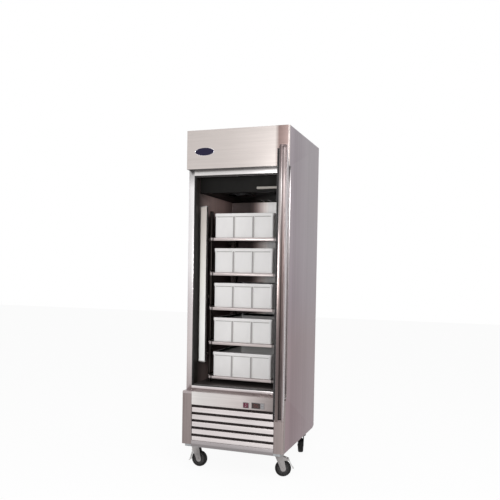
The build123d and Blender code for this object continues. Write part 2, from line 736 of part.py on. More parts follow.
def shelf_top(number):
    return crate_top(number) - CRATE_HEIGHT - SEAT_CLEARANCE


def crate(number):
    """A moulded crate with a rim, ribs and a plain floor, open at the top."""
    top = crate_top(number)
    bottom = top - CRATE_HEIGHT
    width = CRATE_WIDTH - 2 * CRATE_STEP
    length = CRATE_LENGTH - 2 * CRATE_STEP
    body_corner = CRATE_CORNER - CRATE_STEP
    body = rounded_block(width, length, body_corner, bottom, top)
    rim = rounded_block(CRATE_WIDTH, CRATE_LENGTH, CRATE_CORNER, top - CRATE_RIM, top)
    for x in (-CRATE_FRONT_RIB_X, CRATE_FRONT_RIB_X):
        body += block(
            x - CRATE_RIB / 2, x + CRATE_RIB / 2, -CRATE_LENGTH / 2, CRATE_LENGTH / 2, bottom, top
        )
    spacing = length / (CRATE_SIDE_RIBS + 1)
    for rib in range(CRATE_SIDE_RIBS):
        y = -length / 2 + spacing * (rib + 1)
        body += block(
            -CRATE_WIDTH / 2, CRATE_WIDTH / 2, y - CRATE_RIB / 2, y + CRATE_RIB / 2, bottom, top
        )
    cavity = rounded_block(
        width - 2 * CRATE_WALL, length - 2 * CRATE_WALL, body_corner - CRATE_WALL, bottom + CRATE_WALL, top
    )
    return Pos(0, CRATE_FRONT + CRATE_LENGTH / 2, 0) * (body + rim - cavity)


def drip_shelf(number):
    """A shallow sheet tray with a turned-down front lip and turned-up sides."""
    top = shelf_top(number)
    sheet = block(-SHELF_HALF, SHELF_HALF, SHELF_FRONT, SHELF_BACK, top - SHEET, top)
    lip = block(-SHELF_HALF, SHELF_HALF, SHELF_FRONT, SHELF_FRONT + SHEET, top - SHELF_LIP, top)
    side = block(SHELF_HALF - SHEET, SHELF_HALF, SHELF_FRONT, SHELF_BACK, top, top + SHELF_LIP / 2)
    return sheet + lip + side + twin(side)


def runner(number):
    """The angle that carries one side of a shelf."""
    under = shelf_top(number) - SHEET
    front = SHELF_FRONT + 2 * SHEET
    leg = block(
        RUNNER_FACE + RUNNER_SHEET - RUNNER_LEG, RUNNER_FACE + RUNNER_SHEET, front, SHELF_BACK,
        under - RUNNER_SHEET, under,
    )
    wall = block(
        RUNNER_FACE, RUNNER_FACE + RUNNER_SHEET, front, SHELF_BACK,
        under - RUNNER_SHEET, under - RUNNER_SHEET + RUNNER_LEG,
    )
    return leg + wall


def rack_runners():
    right = [runner(number) for number in range(CRATE_COUNT)]
    return group(right + [twin(angle) for angle in right])


def drip_shelves():
    return group([drip_shelf(number) for number in range(CRATE_COUNT)])


def rack_uprights():
    """Four posts on the liner floor, held off the side walls by three spacers each."""
    height = CRATE_TOP + RUNNER_LEG
    spacing = (height - LINER_FLOOR) / UPRIGHT_SPACER_COUNT
    solids = []
    for y in (UPRIGHT_FRONT, UPRIGHT_REAR):
        front = y - UPRIGHT_DEPTH / 2
        back = y + UPRIGHT_DEPTH / 2
        post = block(UPRIGHT_FACE, UPRIGHT_FACE + UPRIGHT_WIDTH, front, back, LINER_FLOOR, height)
        hollow = block(
            UPRIGHT_FACE + RUNNER_SHEET, UPRIGHT_FACE + UPRIGHT_WIDTH,
            front + RUNNER_SHEET, back - RUNNER_SHEET, LINER_FLOOR, height,
        )
        solids += [post - hollow, twin(post - hollow)]
        for number in range(UPRIGHT_SPACER_COUNT):
            middle = LINER_FLOOR + spacing * (number + 0.5)
            spacer = block(
                UPRIGHT_FACE + UPRIGHT_WIDTH, LINER_HALF, front, back,
                middle - UPRIGHT_SPACER / 2, middle + UPRIGHT_SPACER / 2,
            )
            solids += [spacer, twin(spacer)]
    return group(solids)


# Lamps

def lamp_diffusers():
    left = -LINER_HALF + SIDE_LAMP_WALL_GAP
    side = block(
        left, left + LAMP_WIDTH, SIDE_LAMP_FRONT, SIDE_LAMP_FRONT + LAMP_DEPTH,
        SIDE_LAMP_BOTTOM + LAMP_CAP, SIDE_LAMP_BOTTOM + SIDE_LAMP_LENGTH - LAMP_CAP,
    )
    side = fillet(side.edges().filter_by(Axis.Z).group_by(Axis.Y)[0], LAMP_DEPTH / 2)
    low = COOLER_BOTTOM + TOP_LAMP_RISE
    back = COOLER_FRONT - LAMP_BODY_DEPTH
    top = block(
        TOP_LAMP_RIGHT - TOP_LAMP_LENGTH, TOP_LAMP_RIGHT, back - LAMP_DEPTH, back,
        low, low + TOP_LAMP_HEIGHT,
    )
    top = fillet(top.edges().filter_by(Axis.X).group_by(Axis.Y)[0], LAMP_DEPTH / 2)
    return group([side, top])


def lamp_housings():
    """Channels behind the diffusers, with end caps, fixed to the wall and the cooler."""
    left = -LINER_HALF + SIDE_LAMP_WALL_GAP
    back = SIDE_LAMP_FRONT + LAMP_DEPTH
    channel = block(
        -LINER_HALF, left + LAMP_WIDTH, back, back + LAMP_BODY_DEPTH,
        SIDE_LAMP_BOTTOM, SIDE_LAMP_BOTTOM + SIDE_LAMP_LENGTH,
    )
    for low in (SIDE_LAMP_BOTTOM, SIDE_LAMP_BOTTOM + SIDE_LAMP_LENGTH - LAMP_CAP):
        channel += block(left, left + LAMP_WIDTH, SIDE_LAMP_FRONT, back, low, low + LAMP_CAP)
    low = COOLER_BOTTOM + TOP_LAMP_RISE
    right = TOP_LAMP_RIGHT
    bar = block(
        right - TOP_LAMP_LENGTH, right, COOLER_FRONT - LAMP_BODY_DEPTH, COOLER_FRONT,
        low, low + TOP_LAMP_HEIGHT,
    )
    return group([channel, bar])


# Cooling unit

def cooler_housing():
    """Four sheets under the ceiling, open to the back; the floor has fan and return openings."""
    half = COOLER_HALF - SHEET
    inner = COOLER_FRONT + SHEET
    face = block(-COOLER_HALF, COOLER_HALF, COOLER_FRONT, inner, COOLER_BOTTOM, LINER_CEILING)
    side = block(half, COOLER_HALF, inner, LINER_BACK, COOLER_BOTTOM, LINER_CEILING)
    floor = block(-half, half, inner, LINER_BACK, COOLER_BOTTOM, COOLER_BOTTOM + SHEET)
    floor -= rod(
        (COOLER_FAN_X, COOLER_FAN_Y, COOLER_BOTTOM),
        (COOLER_FAN_X, COOLER_FAN_Y, COOLER_BOTTOM + SHEET),
        FAN_HOLE,
    )
    slot = REAR_SLOT_LENGTH / 2
    for number in range(REAR_SLOT_COUNT):
        x = (number - (REAR_SLOT_COUNT - 1) / 2) * 2 * REAR_SLOT_PITCH
        y = LINER_BACK - slot
        floor -= block(
            x - REAR_SLOT_HEIGHT / 2, x + REAR_SLOT_HEIGHT / 2, y - slot / 2, y + slot / 2,
            COOLER_BOTTOM, COOLER_BOTTOM + SHEET,
        )
    return group([face, side, twin(side), floor])


def finned_coil(width, depth, height):
    """A block of fins on two end plates, about its own bottom front left corner."""
    coil = block(0, FIN_SHEET * 2, 0, depth, 0, height)
    coil += block(width - FIN_SHEET * 2, width, 0, depth, 0, height)
    count = int(width / FIN_PITCH)
    for number in range(1, count):
        x = number * width / count
        coil += block(x - FIN_SHEET / 2, x + FIN_SHEET / 2, FIN_SHEET, depth - FIN_SHEET, 2, height - 2)
    rows = 4
    for number in range(rows):
        z = height * (number + 0.5) / rows
        for y in (depth * 0.3, depth * 0.7):
            coil += rod((0, y, z), (width, y, z), COIL_TUBE_RADIUS)
    return coil


def evaporator_coil():
    coil = finned_coil(EVAPORATOR_WIDTH, EVAPORATOR_DEPTH, EVAPORATOR_HEIGHT)
    place = Pos(-EVAPORATOR_WIDTH / 2, EVAPORATOR_FRONT, LINER_CEILING - EVAPORATOR_HEIGHT)
    return place * coil


def fan_blade():
    """A hub with pitched blades and a shaft, on the z axis, shaft end upwards."""
    hub = rod((0, 0, 0), (0, 0, FAN_HUB_LENGTH), FAN_HUB_RADIUS)
    shaft_end = FAN_HUB_LENGTH + SEAT_CLEARANCE + FAN_SHAFT_ENGAGEMENT
    hub += rod((0, 0, 0), (0, 0, shaft_end), FAN_SHAFT_RADIUS)
    root = FAN_HUB_RADIUS * 0.7
    for number in range(FAN_BLADE_COUNT):
        blade = block(root, FAN_RADIUS, -FAN_BLADE_CHORD / 2, FAN_BLADE_CHORD / 2, -1, 1)
        blade = Rot(FAN_BLADE_PITCH, 0, 0) * blade
        blade = blade & rod((0, 0, -FAN_RADIUS), (0, 0, FAN_RADIUS), FAN_RADIUS)
        hub += Rot(0, 0, 360 / FAN_BLADE_COUNT * number) * Pos(0, 0, FAN_HUB_LENGTH / 2) * blade
    return hub


def fan_motor(place):
    """A motor that hangs above the blade from a bar on two feet, which stand on the plate."""
    low = FAN_HUB_LENGTH + SEAT_CLEARANCE
    high = low + MOTOR_LENGTH
    bore = FAN_SHAFT_RADIUS + RUNNING_CLEARANCE
    motor = rod((0, 0, low), (0, 0, high), MOTOR_RADIUS)
    motor -= rod((0, 0, low), (0, 0, low + FAN_SHAFT_ENGAGEMENT + SEAT_CLEARANCE), bore)
    reach = FAN_HOLE + MOTOR_BAR
    half = MOTOR_BAR / 2
    bar = block(-reach, reach, -half, half, high, high + MOTOR_BAR_SHEET)
    left = block(-reach, -FAN_HOLE, -half, half, -FAN_STAND, high)
    return [place(solid) for solid in (motor, bar, left, twin(left))]


def at_cooler(shape):
    return Pos(COOLER_FAN_X, COOLER_FAN_Y, COOLER_FAN_Z) * shape


def at_condenser(shape):
    """Turns the fan's axis to run from front to back, behind the shroud."""
    return Pos(CONDENSER_X, SHROUD_BACK + FAN_STAND, CONDENSER_FAN_Z) * Rot(-90, 0, 0) * shape


def fan_motors():
    return group(fan_motor(at_cooler) + fan_motor(at_condenser))


# Condensing unit

def condenser_coil():
    coil = finned_coil(CONDENSER_WIDTH, CONDENSER_DEPTH, CONDENSER_HEIGHT)
    return Pos(CONDENSER_X - CONDENSER_WIDTH / 2, CONDENSER_FRONT, BASE_TOP) * coil


def condenser_shroud():
    left = CONDENSER_X - CONDENSER_WIDTH / 2
    right = CONDENSER_X + CONDENSER_WIDTH / 2
    top = BASE_TOP + CONDENSER_HEIGHT
    shell = block(left, right, CONDENSER_BACK, SHROUD_BACK, BASE_TOP, top)
    shell -= block(
        left + SHEET, right - SHEET, CONDENSER_BACK, SHROUD_BACK - SHEET, BASE_TOP + SHEET, top - SHEET
    )
    hole = rod(
        (CONDENSER_X, CONDENSER_BACK, CONDENSER_FAN_Z), (CONDENSER_X, SHROUD_BACK, CONDENSER_FAN_Z), FAN_HOLE
    )
    return shell - hole


def compressor():
    """A welded pot on four rubber feet, with its terminal box."""
    low = BASE_TOP + COMPRESSOR_FOOT
    pot = rod((0, 0, low), (0, 0, low + COMPRESSOR_HEIGHT), COMPRESSOR_RADIUS)
    pot = fillet(pot.edges().filter_by(GeomType.CIRCLE), COMPRESSOR_RADIUS / 3)
    half = COMPRESSOR_RADIUS * 0.9
    plate = block(-half, half, -half, half, low, low + BASE_PLATE)
    pot += plate
    for x in (-1, 1):
        for y in (-1, 1):
            corner = half - COMPRESSOR_FOOT
            pot += rod((x * corner, y * corner, BASE_TOP), (x * corner, y * corner, low), COMPRESSOR_FOOT)
    middle = low + COMPRESSOR_HEIGHT / 2
    side = COMPRESSOR_RADIUS * 0.9
    pot += block(-side / 3, side / 3, -side - COMPRESSOR_FOOT * 2, -side, middle - side / 3, middle + side / 3)
    return Pos(COMPRESSOR_X, COMPRESSOR_Y, 0) * pot


def drain_pan():
    outer = block(
        DRAIN_PAN_X - DRAIN_PAN_WIDTH / 2, DRAIN_PAN_X + DRAIN_PAN_WIDTH / 2,
        DRAIN_PAN_Y - DRAIN_PAN_DEPTH / 2, DRAIN_PAN_Y + DRAIN_PAN_DEPTH / 2,
        BASE_TOP, BASE_TOP + DRAIN_PAN_HEIGHT,
    )
    inner = block(
        DRAIN_PAN_X - DRAIN_PAN_WIDTH / 2 + SHEET, DRAIN_PAN_X + DRAIN_PAN_WIDTH / 2 - SHEET,
        DRAIN_PAN_Y - DRAIN_PAN_DEPTH / 2 + SHEET, DRAIN_PAN_Y + DRAIN_PAN_DEPTH / 2 - SHEET,
        BASE_TOP + SHEET, BASE_TOP + DRAIN_PAN_HEIGHT,
    )
    return outer - inner


def pipe(points):
    """A tube along straight runs with round bends."""
    path = FilletPolyline(*points, radius=PIPE_BEND)
    start = Plane(origin=path @ 0, z_dir=path % 0)
    return sweep(start * Circle(PIPE_RADIUS), path=path)


def refrigerant_lines():
    """The discharge, liquid and suction pipes."""
    condenser_y = (CONDENSER_FRONT + CONDENSER_BACK) / 2
    condenser_left = CONDENSER_X - CONDENSER_WIDTH / 2
    condenser_right = CONDENSER_X + CONDENSER_WIDTH / 2
    pot_top = BASE_TOP + COMPRESSOR_FOOT + COMPRESSOR_HEIGHT
    high = pot_top + 2.5 * PIPE_BEND
    discharge = pipe([
        (COMPRESSOR_X, COMPRESSOR_Y, pot_top),
        (COMPRESSOR_X, COMPRESSOR_Y, high),
        (COMPRESSOR_X, condenser_y, high),
        (COMPRESSOR_X, condenser_y, pot_top - PIPE_BEND),
        (condenser_right, condenser_y, pot_top - PIPE_BEND),
    ])
    side = condenser_left - 2.5 * PIPE_BEND
    run_z = BASE_TOP + DRAIN_PAN_HEIGHT + 2 * PIPE_BEND
    liquid_x = CHASE_X - 2 * PIPE_RADIUS
    suction_x = CHASE_X + 2 * PIPE_RADIUS
    liquid = pipe([
        (condenser_left, condenser_y, run_z),
        (side, condenser_y, run_z),
        (side, PIPE_CHASE_Y, run_z),
        (liquid_x, PIPE_CHASE_Y, run_z),
        (liquid_x, PIPE_CHASE_Y, PIPE_TOP),
        (liquid_x, EVAPORATOR_FRONT + EVAPORATOR_DEPTH, PIPE_TOP),
    ])
    suction_z = pot_top - COMPRESSOR_HEIGHT / 2
    suction = pipe([
        (suction_x, COMPRESSOR_Y + COMPRESSOR_RADIUS * 0.85, suction_z),
        (suction_x, PIPE_CHASE_Y, suction_z),
        (suction_x, PIPE_CHASE_Y, PIPE_TOP),
        (suction_x, EVAPORATOR_FRONT + EVAPORATOR_DEPTH, PIPE_TOP),
    ])
    pot = compressor()
    coil = evaporator_coil()
    return group([discharge - pot, liquid - coil, suction - pot - coil])


# Controls

def switch_sleeve_block():
    half_x = SWITCH_WIDTH / 2 - 1
    half_z = SWITCH_HEIGHT / 2 - 1
    return block(
        SWITCH_X - half_x, SWITCH_X + half_x, PANEL_FRONT, PANEL_FRONT + SWITCH_BODY,
        SWITCH_Z - half_z, SWITCH_Z + half_z,
    )


def switch_housing():
    """The frame round the rocker and the box behind it, with holes for the rocker's pins."""
    frame = block(
        SWITCH_X - SWITCH_WIDTH / 2, SWITCH_X + SWITCH_WIDTH / 2,
        PANEL_FRONT - BEZEL_PROUD, PANEL_FRONT,
        SWITCH_Z - SWITCH_HEIGHT / 2, SWITCH_Z + SWITCH_HEIGHT / 2,
    )
    half_x = ROCKER_WIDTH / 2 + SEAT_CLEARANCE
    half_z = ROCKER_HALF + 2 * SEAT_CLEARANCE + 0.6
    well = block(
        SWITCH_X - half_x, SWITCH_X + half_x, PANEL_FRONT - BEZEL_PROUD, PANEL_FRONT + SWITCH_BODY - 2,
        SWITCH_Z - half_z, SWITCH_Z + half_z,
    )
    pin_reach = half_x + 1.2
    pins = rod(
        (SWITCH_X - pin_reach, ROCKER_PIVOT_Y, SWITCH_Z), (SWITCH_X + pin_reach, ROCKER_PIVOT_Y, SWITCH_Z),
        ROCKER_PIN + RUNNING_CLEARANCE,
    )
    return frame + switch_sleeve_block() - well - pins


def rocker_switch():
    """A rocker that lies with its lower half pressed in, on two stub pins."""
    half = ROCKER_HALF
    outline = [
        (-8.6, half - 0.4), (-6.6, 0), (-8.6, -half + 0.4), (0, -half + 0.8), (6, -half / 2),
        (6, half / 2), (0, half - 0.8),
    ]
    rocker = slab_x(outline, -ROCKER_WIDTH / 2, ROCKER_WIDTH / 2)
    pin_reach = ROCKER_WIDTH / 2 + SEAT_CLEARANCE + 0.9
    rocker += rod((-pin_reach, 0, 0), (pin_reach, 0, 0), ROCKER_PIN)
    return Pos(SWITCH_X, ROCKER_PIVOT_Y, SWITCH_Z) * Rot(-ROCKER_TILT, 0, 0) * rocker


def controller_body_block():
    half_x = CONTROLLER_WIDTH / 2 - 3
    half_z = CONTROLLER_HEIGHT / 2 - 3
    return block(
        CONTROLLER_X - half_x, CONTROLLER_X + half_x, PANEL_FRONT, PANEL_FRONT + CONTROLLER_DEPTH,
        CONTROLLER_Z - half_z, CONTROLLER_Z + half_z,
    )


def key_place(sign, margin):
    """The space of one key, made larger by a margin round its sides."""
    z = CONTROLLER_Z + sign * KEY_SPREAD / 2
    return block(
        KEY_X - KEY_WIDTH / 2 - margin, KEY_X + KEY_WIDTH / 2 + margin,
        PANEL_FRONT - BEZEL_PROUD - 1, PANEL_FRONT + 1,
        z - KEY_HEIGHT / 2 - margin, z + KEY_HEIGHT / 2 + margin,
    )


def key_well(sign):
    """The hole for one key, deeper than the key by its travel."""
    return key_place(sign, SEAT_CLEARANCE) + Pos(0, KEY_TRAVEL + SEAT_CLEARANCE, 0) * key_place(
        sign, SEAT_CLEARANCE
    )


def display_window():
    return block(
        DISPLAY_X - DISPLAY_WIDTH / 2, DISPLAY_X + DISPLAY_WIDTH / 2,
        PANEL_FRONT - BEZEL_PROUD - 0.4, PANEL_FRONT - BEZEL_PROUD + 1.5,
        CONTROLLER_Z - DISPLAY_HEIGHT / 2, CONTROLLER_Z + DISPLAY_HEIGHT / 2,
    )


def controller_housing():
    frame = block(
        CONTROLLER_X - CONTROLLER_WIDTH / 2, CONTROLLER_X + CONTROLLER_WIDTH / 2,
        PANEL_FRONT - BEZEL_PROUD, PANEL_FRONT,
        CONTROLLER_Z - CONTROLLER_HEIGHT / 2, CONTROLLER_Z + CONTROLLER_HEIGHT / 2,
    )
    housing = frame + controller_body_block() - display_window()
    return housing - key_well(1) - key_well(-1)


# Casters, each built with its swivel axis on the z axis and its wheel trailing to +x

def caster_plate():
    """The bolted plate, the fixed race under it and the kingpin."""
    half_x = CASTER_PLATE_WIDTH / 2
    half_y = CASTER_PLATE_LENGTH / 2
    plate = block(-half_x, half_x, -half_y, half_y, PLATE_BOTTOM, UNDERSIDE)
    plate += rod((0, 0, RACE_BOTTOM), (0, 0, PLATE_BOTTOM), RACE_RADIUS)
    plate += rod((0, 0, CROWN_BOTTOM - CASTER_PLATE), (0, 0, RACE_BOTTOM), KINGPIN_RADIUS)
    bolt = SCREW_HEAD_RADIUS * 1.5
    for x in (-1, 1):
        for y in (-1, 1):
            place_x = x * (half_x - bolt - 1)
            place_y = y * (half_y - bolt - 1)
            plate += rod(
                (place_x, place_y, PLATE_BOTTOM - CASTER_PLATE), (place_x, place_y, PLATE_BOTTOM), bolt
            )
    return plate


def pedal_ends(side):
    """Where a brake pedal turns and where its tip is, as (x, z) from the swivel axis."""
    if side > 0:
        return (CASTER_TRAIL + 0.66 * WHEEL_RADIUS, 2.12 * WHEEL_RADIUS), \
            (CASTER_TRAIL + 1.14 * WHEEL_RADIUS, 1.12 * WHEEL_RADIUS)
    return (CASTER_TRAIL - 0.86 * WHEEL_RADIUS, 2.12 * WHEEL_RADIUS), \
        (CASTER_TRAIL - 1.24 * WHEEL_RADIUS, 0.8 * WHEEL_RADIUS)


def caster_fork(pedal_side):
    """Crown, two legs and the axle; braked forks have ears for the pedal's pin."""
    crown = rod((0, 0, CROWN_BOTTOM), (0, 0, CROWN_TOP), RACE_RADIUS)
    bore = KINGPIN_RADIUS + RUNNING_CLEARANCE
    crown -= rod((0, 0, CROWN_BOTTOM), (0, 0, CROWN_TOP), bore)
    half = RACE_RADIUS * 0.8
    boss = FORK_FOOT_RADIUS
    fork = crown
    for side in (-1, 1):
        inner = side * FORK_INNER
        outer = side * FORK_OUTER
        low = min(inner, outer)
        high = max(inner, outer)
        leg = slab_y(
            [
                (-half, CROWN_TOP), (half, CROWN_TOP), (CASTER_TRAIL + boss, WHEEL_RADIUS),
                (CASTER_TRAIL - boss, WHEEL_RADIUS),
            ],
            low,
            high,
        )
        leg += rod((CASTER_TRAIL, low, WHEEL_RADIUS), (CASTER_TRAIL, high, WHEEL_RADIUS), boss)
        if pedal_side:
            pivot = pedal_ends(pedal_side)[0]
            ear = PEDAL_PIN_RADIUS * 2.2
            leg += slab_y(
                [
                    (0, CROWN_TOP), (pivot[0], pivot[1] + ear), (pivot[0], pivot[1] - ear),
                    (0, pivot[1] - ear),
                ],
                low,
                high,
            )
            leg += rod((pivot[0], low, pivot[1]), (pivot[0], high, pivot[1]), ear)
        leg -= rod((0, 0, CROWN_BOTTOM - 1), (0, 0, CROWN_TOP + 1), bore)
        fork += leg
    if pedal_side:
        pivot = pedal_ends(pedal_side)[0]
        fork -= rod(
            (pivot[0], -FORK_OUTER, pivot[1]), (pivot[0], FORK_OUTER, pivot[1]),
            PEDAL_PIN_RADIUS + RUNNING_CLEARANCE,
        )
    axle = rod(
        (CASTER_TRAIL, -FORK_OUTER - FORK_SHEET, WHEEL_RADIUS),
        (CASTER_TRAIL, FORK_OUTER + FORK_SHEET, WHEEL_RADIUS),
        AXLE_RADIUS,
    )
    fork -= axle
    return group([fork, axle])


def caster_wheel():
    """Tread and hub in one piece, with a bore for the axle."""
    half = WHEEL_WIDTH / 2
    wheel = rod((CASTER_TRAIL, -half, WHEEL_RADIUS), (CASTER_TRAIL, half, WHEEL_RADIUS), WHEEL_RADIUS)
    rims = wheel.edges().filter_by(GeomType.CIRCLE)
    wheel = fillet(rims, WHEEL_WIDTH / 6)
    dish = WHEEL_RADIUS * 0.68
    for side in (-1, 1):
        face = side * half
        depth = side * (half - WHEEL_WIDTH / 8)
        wheel -= rod(
            (CASTER_TRAIL, face, WHEEL_RADIUS), (CASTER_TRAIL, depth, WHEEL_RADIUS), dish
        )
        wheel += rod(
            (CASTER_TRAIL, depth, WHEEL_RADIUS), (CASTER_TRAIL, face, WHEEL_RADIUS), AXLE_RADIUS * 2.4
        )
    bore = AXLE_RADIUS + RUNNING_CLEARANCE
    return wheel - rod((CASTER_TRAIL, -half, WHEEL_RADIUS), (CASTER_TRAIL, half, WHEEL_RADIUS), bore)


def brake_pedal(side):
    """A bent plate on a pin between the fork's ears, clear of the tread."""
    (pivot_x, pivot_z), (tip_x, tip_z) = pedal_ends(side)
    half = FORK_INNER - SEAT_CLEARANCE
    arm = slab_y(
        [
            (pivot_x, pivot_z + PEDAL_SHEET), (pivot_x + side * PEDAL_SHEET, pivot_z),
            (tip_x + side * PEDAL_SHEET, tip_z), (tip_x, tip_z), (pivot_x - side * PEDAL_SHEET, pivot_z),
        ],
        -half,
        half,
    )
    arm += rod((pivot_x, -half, pivot_z), (pivot_x, half, pivot_z), PEDAL_PIN_RADIUS * 1.8)
    arm += rod((pivot_x, -FORK_OUTER, pivot_z), (pivot_x, FORK_OUTER, pivot_z), PEDAL_PIN_RADIUS)
    toe = slab_y(
        [
            (tip_x - side * PEDAL_SHEET / 2, tip_z + PEDAL_SHEET * 2),
            (tip_x + side * PEDAL_SHEET * 3, tip_z - PEDAL_SHEET),
            (tip_x + side * PEDAL_SHEET * 3, tip_z - 2 * PEDAL_SHEET),
            (tip_x, tip_z - PEDAL_SHEET),
        ],
        -PEDAL_WIDTH / 2 - 2,
        PEDAL_WIDTH / 2 + 2,
    )
    return arm + toe


CASTERS = {
    "front_left": (-CASTER_X, CASTER_FRONT_Y, 0.0, -1),
    "front_right": (CASTER_X, CASTER_FRONT_Y, FRONT_RIGHT_HEADING, 1),
    "rear_left": (-CASTER_X, CASTER_REAR_Y, REAR_HEADING, 0),
    "rear_right": (CASTER_X, CASTER_REAR_Y, REAR_HEADING, 0),
}


def on_caster(name, shape):
    x, y, heading, _ = CASTERS[name]
    return Pos(x, y, 0) * Rot(0, 0, heading) * shape


# All the nodes

def swing(shape):
    """Turns a piece of the closed door to where the door stands open."""
    return Pos(PIVOT_X, PIVOT_Y, 0) * Rot(0, 0, DOOR_OPEN) * Pos(-PIVOT_X, -PIVOT_Y, 0) * shape


nodes = {
    "side_panel_left": twin(side_panel()),
    "side_panel_right": side_panel(),
    "back_panel": back_panel(),
    "top_panel": top_panel(),
    "header_fascia": header_fascia(),
    "badge_plate": badge_plate(),
    "base_frame": base_frame(),
    "foam_insulation": foam_insulation(),
    "inner_liner": inner_liner(),
    "door_frame": door_frame(),
    "breaker_trim": breaker_trim(),
    "corner_posts": corner_posts(),
    "control_panel": control_panel(),
    "louvre_grille": louvre_grille(),
    "rear_grille": rear_grille(),
    "rack_uprights": rack_uprights(),
    "rack_runners": rack_runners(),
    "drip_shelves": drip_shelves(),
    "lamp_housings": lamp_housings(),
    "lamp_diffusers": lamp_diffusers(),
    "cooler_housing": cooler_housing(),
    "evaporator_coil": evaporator_coil(),
    "fan_motors": fan_motors(),
    "compressor": compressor(),
    "condenser_coil": condenser_coil(),
    "condenser_shroud": condenser_shroud(),
    "refrigerant_lines": refrigerant_lines(),
    "drain_pan": drain_pan(),
    "cable_gland": cable_gland(),
    "hinge_brackets": hinge_brackets(),
    "control_housings": group([switch_housing(), controller_housing()]),
    "controller_display": display_window(),
    "caster_plates": group([Pos(*CASTERS[name][:2]) * caster_plate() for name in CASTERS]),
    "panel_screws": panel_screws(),
    "door_skin": swing(door_skin()),
    "door_foam": swing(door_foam()),
    "door_liner": swing(door_liner()),
    "door_gasket": swing(door_gasket()),
    "door_grip": swing(door_grip()),
    "hinge_bushes": swing(hinge_bushes()),
    "cooler_fan_blade": at_cooler(fan_blade()),
    "condenser_fan_blade": at_condenser(fan_blade()),
    "rocker_switch": rocker_switch(),
    "key_up": key_place(1, 0),
    "key_down": key_place(-1, 0),
}
for number in range(CRATE_COUNT):
    nodes[f"crate_{number + 1}"] = crate(number)
for name, (_, _, _, pedal_side) in CASTERS.items():
    nodes[f"caster_fork_{name}"] = on_caster(name, caster_fork(pedal_side))
    nodes[f"caster_wheel_{name}"] = on_caster(name, caster_wheel())
    if pedal_side:
        nodes[f"brake_pedal_{name}"] = on_caster(name, brake_pedal(pedal_side))

# The origin goes to the middle of the whole, on the floor
boxes = [shape.bounding_box() for shape in nodes.values()]
MIDDLE_X = (min(box.min.X for box in boxes) + max(box.max.X for box in boxes)) / 2
MIDDLE_Y = (min(box.min.Y for box in boxes) + max(box.max.Y for box in boxes)) / 2
FLOOR_Z = min(box.min.Z for box in boxes)
to_origin = Pos(-MIDDLE_X, -MIDDLE_Y, -FLOOR_Z)

os.makedirs("parts", exist_ok=True)
for name, shape in nodes.items():
    export_step(to_origin * shape, f"parts/{name}.step")

print("nodes", len(nodes))
print("middle of the whole from the cabinet's own axes", round(MIDDLE_X, 3), round(MIDDLE_Y, 3))
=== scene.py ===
# %% [markdown]
# # A refrigerator for crates of fish
#
# This script dresses a finished CAD model. The CAD part is loaded as a frame that never moves, and each
# visible piece is either a CAD piece with a better surface, or a new mesh that stands for one.
# We start with the tools and the frame.

# %% The frame and the box of a part
import json
import math

import bmesh
import bpy
from mathutils import Matrix, Vector


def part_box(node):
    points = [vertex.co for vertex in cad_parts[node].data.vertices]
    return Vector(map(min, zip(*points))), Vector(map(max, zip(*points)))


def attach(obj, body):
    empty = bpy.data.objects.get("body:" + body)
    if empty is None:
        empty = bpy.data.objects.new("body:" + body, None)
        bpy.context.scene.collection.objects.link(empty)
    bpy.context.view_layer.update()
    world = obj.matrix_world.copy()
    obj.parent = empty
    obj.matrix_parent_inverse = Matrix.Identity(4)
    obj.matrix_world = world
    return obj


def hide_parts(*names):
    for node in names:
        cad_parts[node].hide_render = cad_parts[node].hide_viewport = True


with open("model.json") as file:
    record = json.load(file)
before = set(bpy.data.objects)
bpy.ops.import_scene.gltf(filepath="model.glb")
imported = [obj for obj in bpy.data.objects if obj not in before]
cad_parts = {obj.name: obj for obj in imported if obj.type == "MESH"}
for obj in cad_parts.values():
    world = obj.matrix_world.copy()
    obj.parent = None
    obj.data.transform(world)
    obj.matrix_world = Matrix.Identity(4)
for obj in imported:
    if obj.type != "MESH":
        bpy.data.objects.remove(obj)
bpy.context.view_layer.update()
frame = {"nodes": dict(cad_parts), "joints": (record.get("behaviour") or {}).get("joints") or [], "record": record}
nodes = frame["nodes"]
record = frame["record"]
body_of_node = {}
for body_name, members in record["behaviour"]["bodies"].items():
    for member in members:
        body_of_node[member] = body_name

# %% [markdown]
# ## Where the cabinet stands
#
# The door hangs open, so the middle of the whole isn't the middle of the cabinet. It is easier to think
# from the middle of the header's face, so we measure where that face is, and build each piece from there.
# Lengths are written in millimetres, as on a drawing, and turned into metres at the end.

# %% Origin of the cabinet and its main levels
MM = 0.001
face_low, face_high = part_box("header_fascia")
CABINET_X = (face_low.x + face_high.x) / 2
FACE_Y = face_low.y
TO_FRAME = Matrix.Translation((CABINET_X, FACE_Y, 0)) @ Matrix.Scale(MM, 4)


def span(node, to_frame=TO_FRAME):
    """Lowest and highest corner of a CAD piece, in millimetres from the cabinet's own origin."""
    back = to_frame.inverted()
    points = [back @ vertex.co for vertex in nodes[node].data.vertices]
    low = Vector([min(point[axis] for point in points) for axis in range(3)])
    high = Vector([max(point[axis] for point in points) for axis in range(3)])
    return low, high


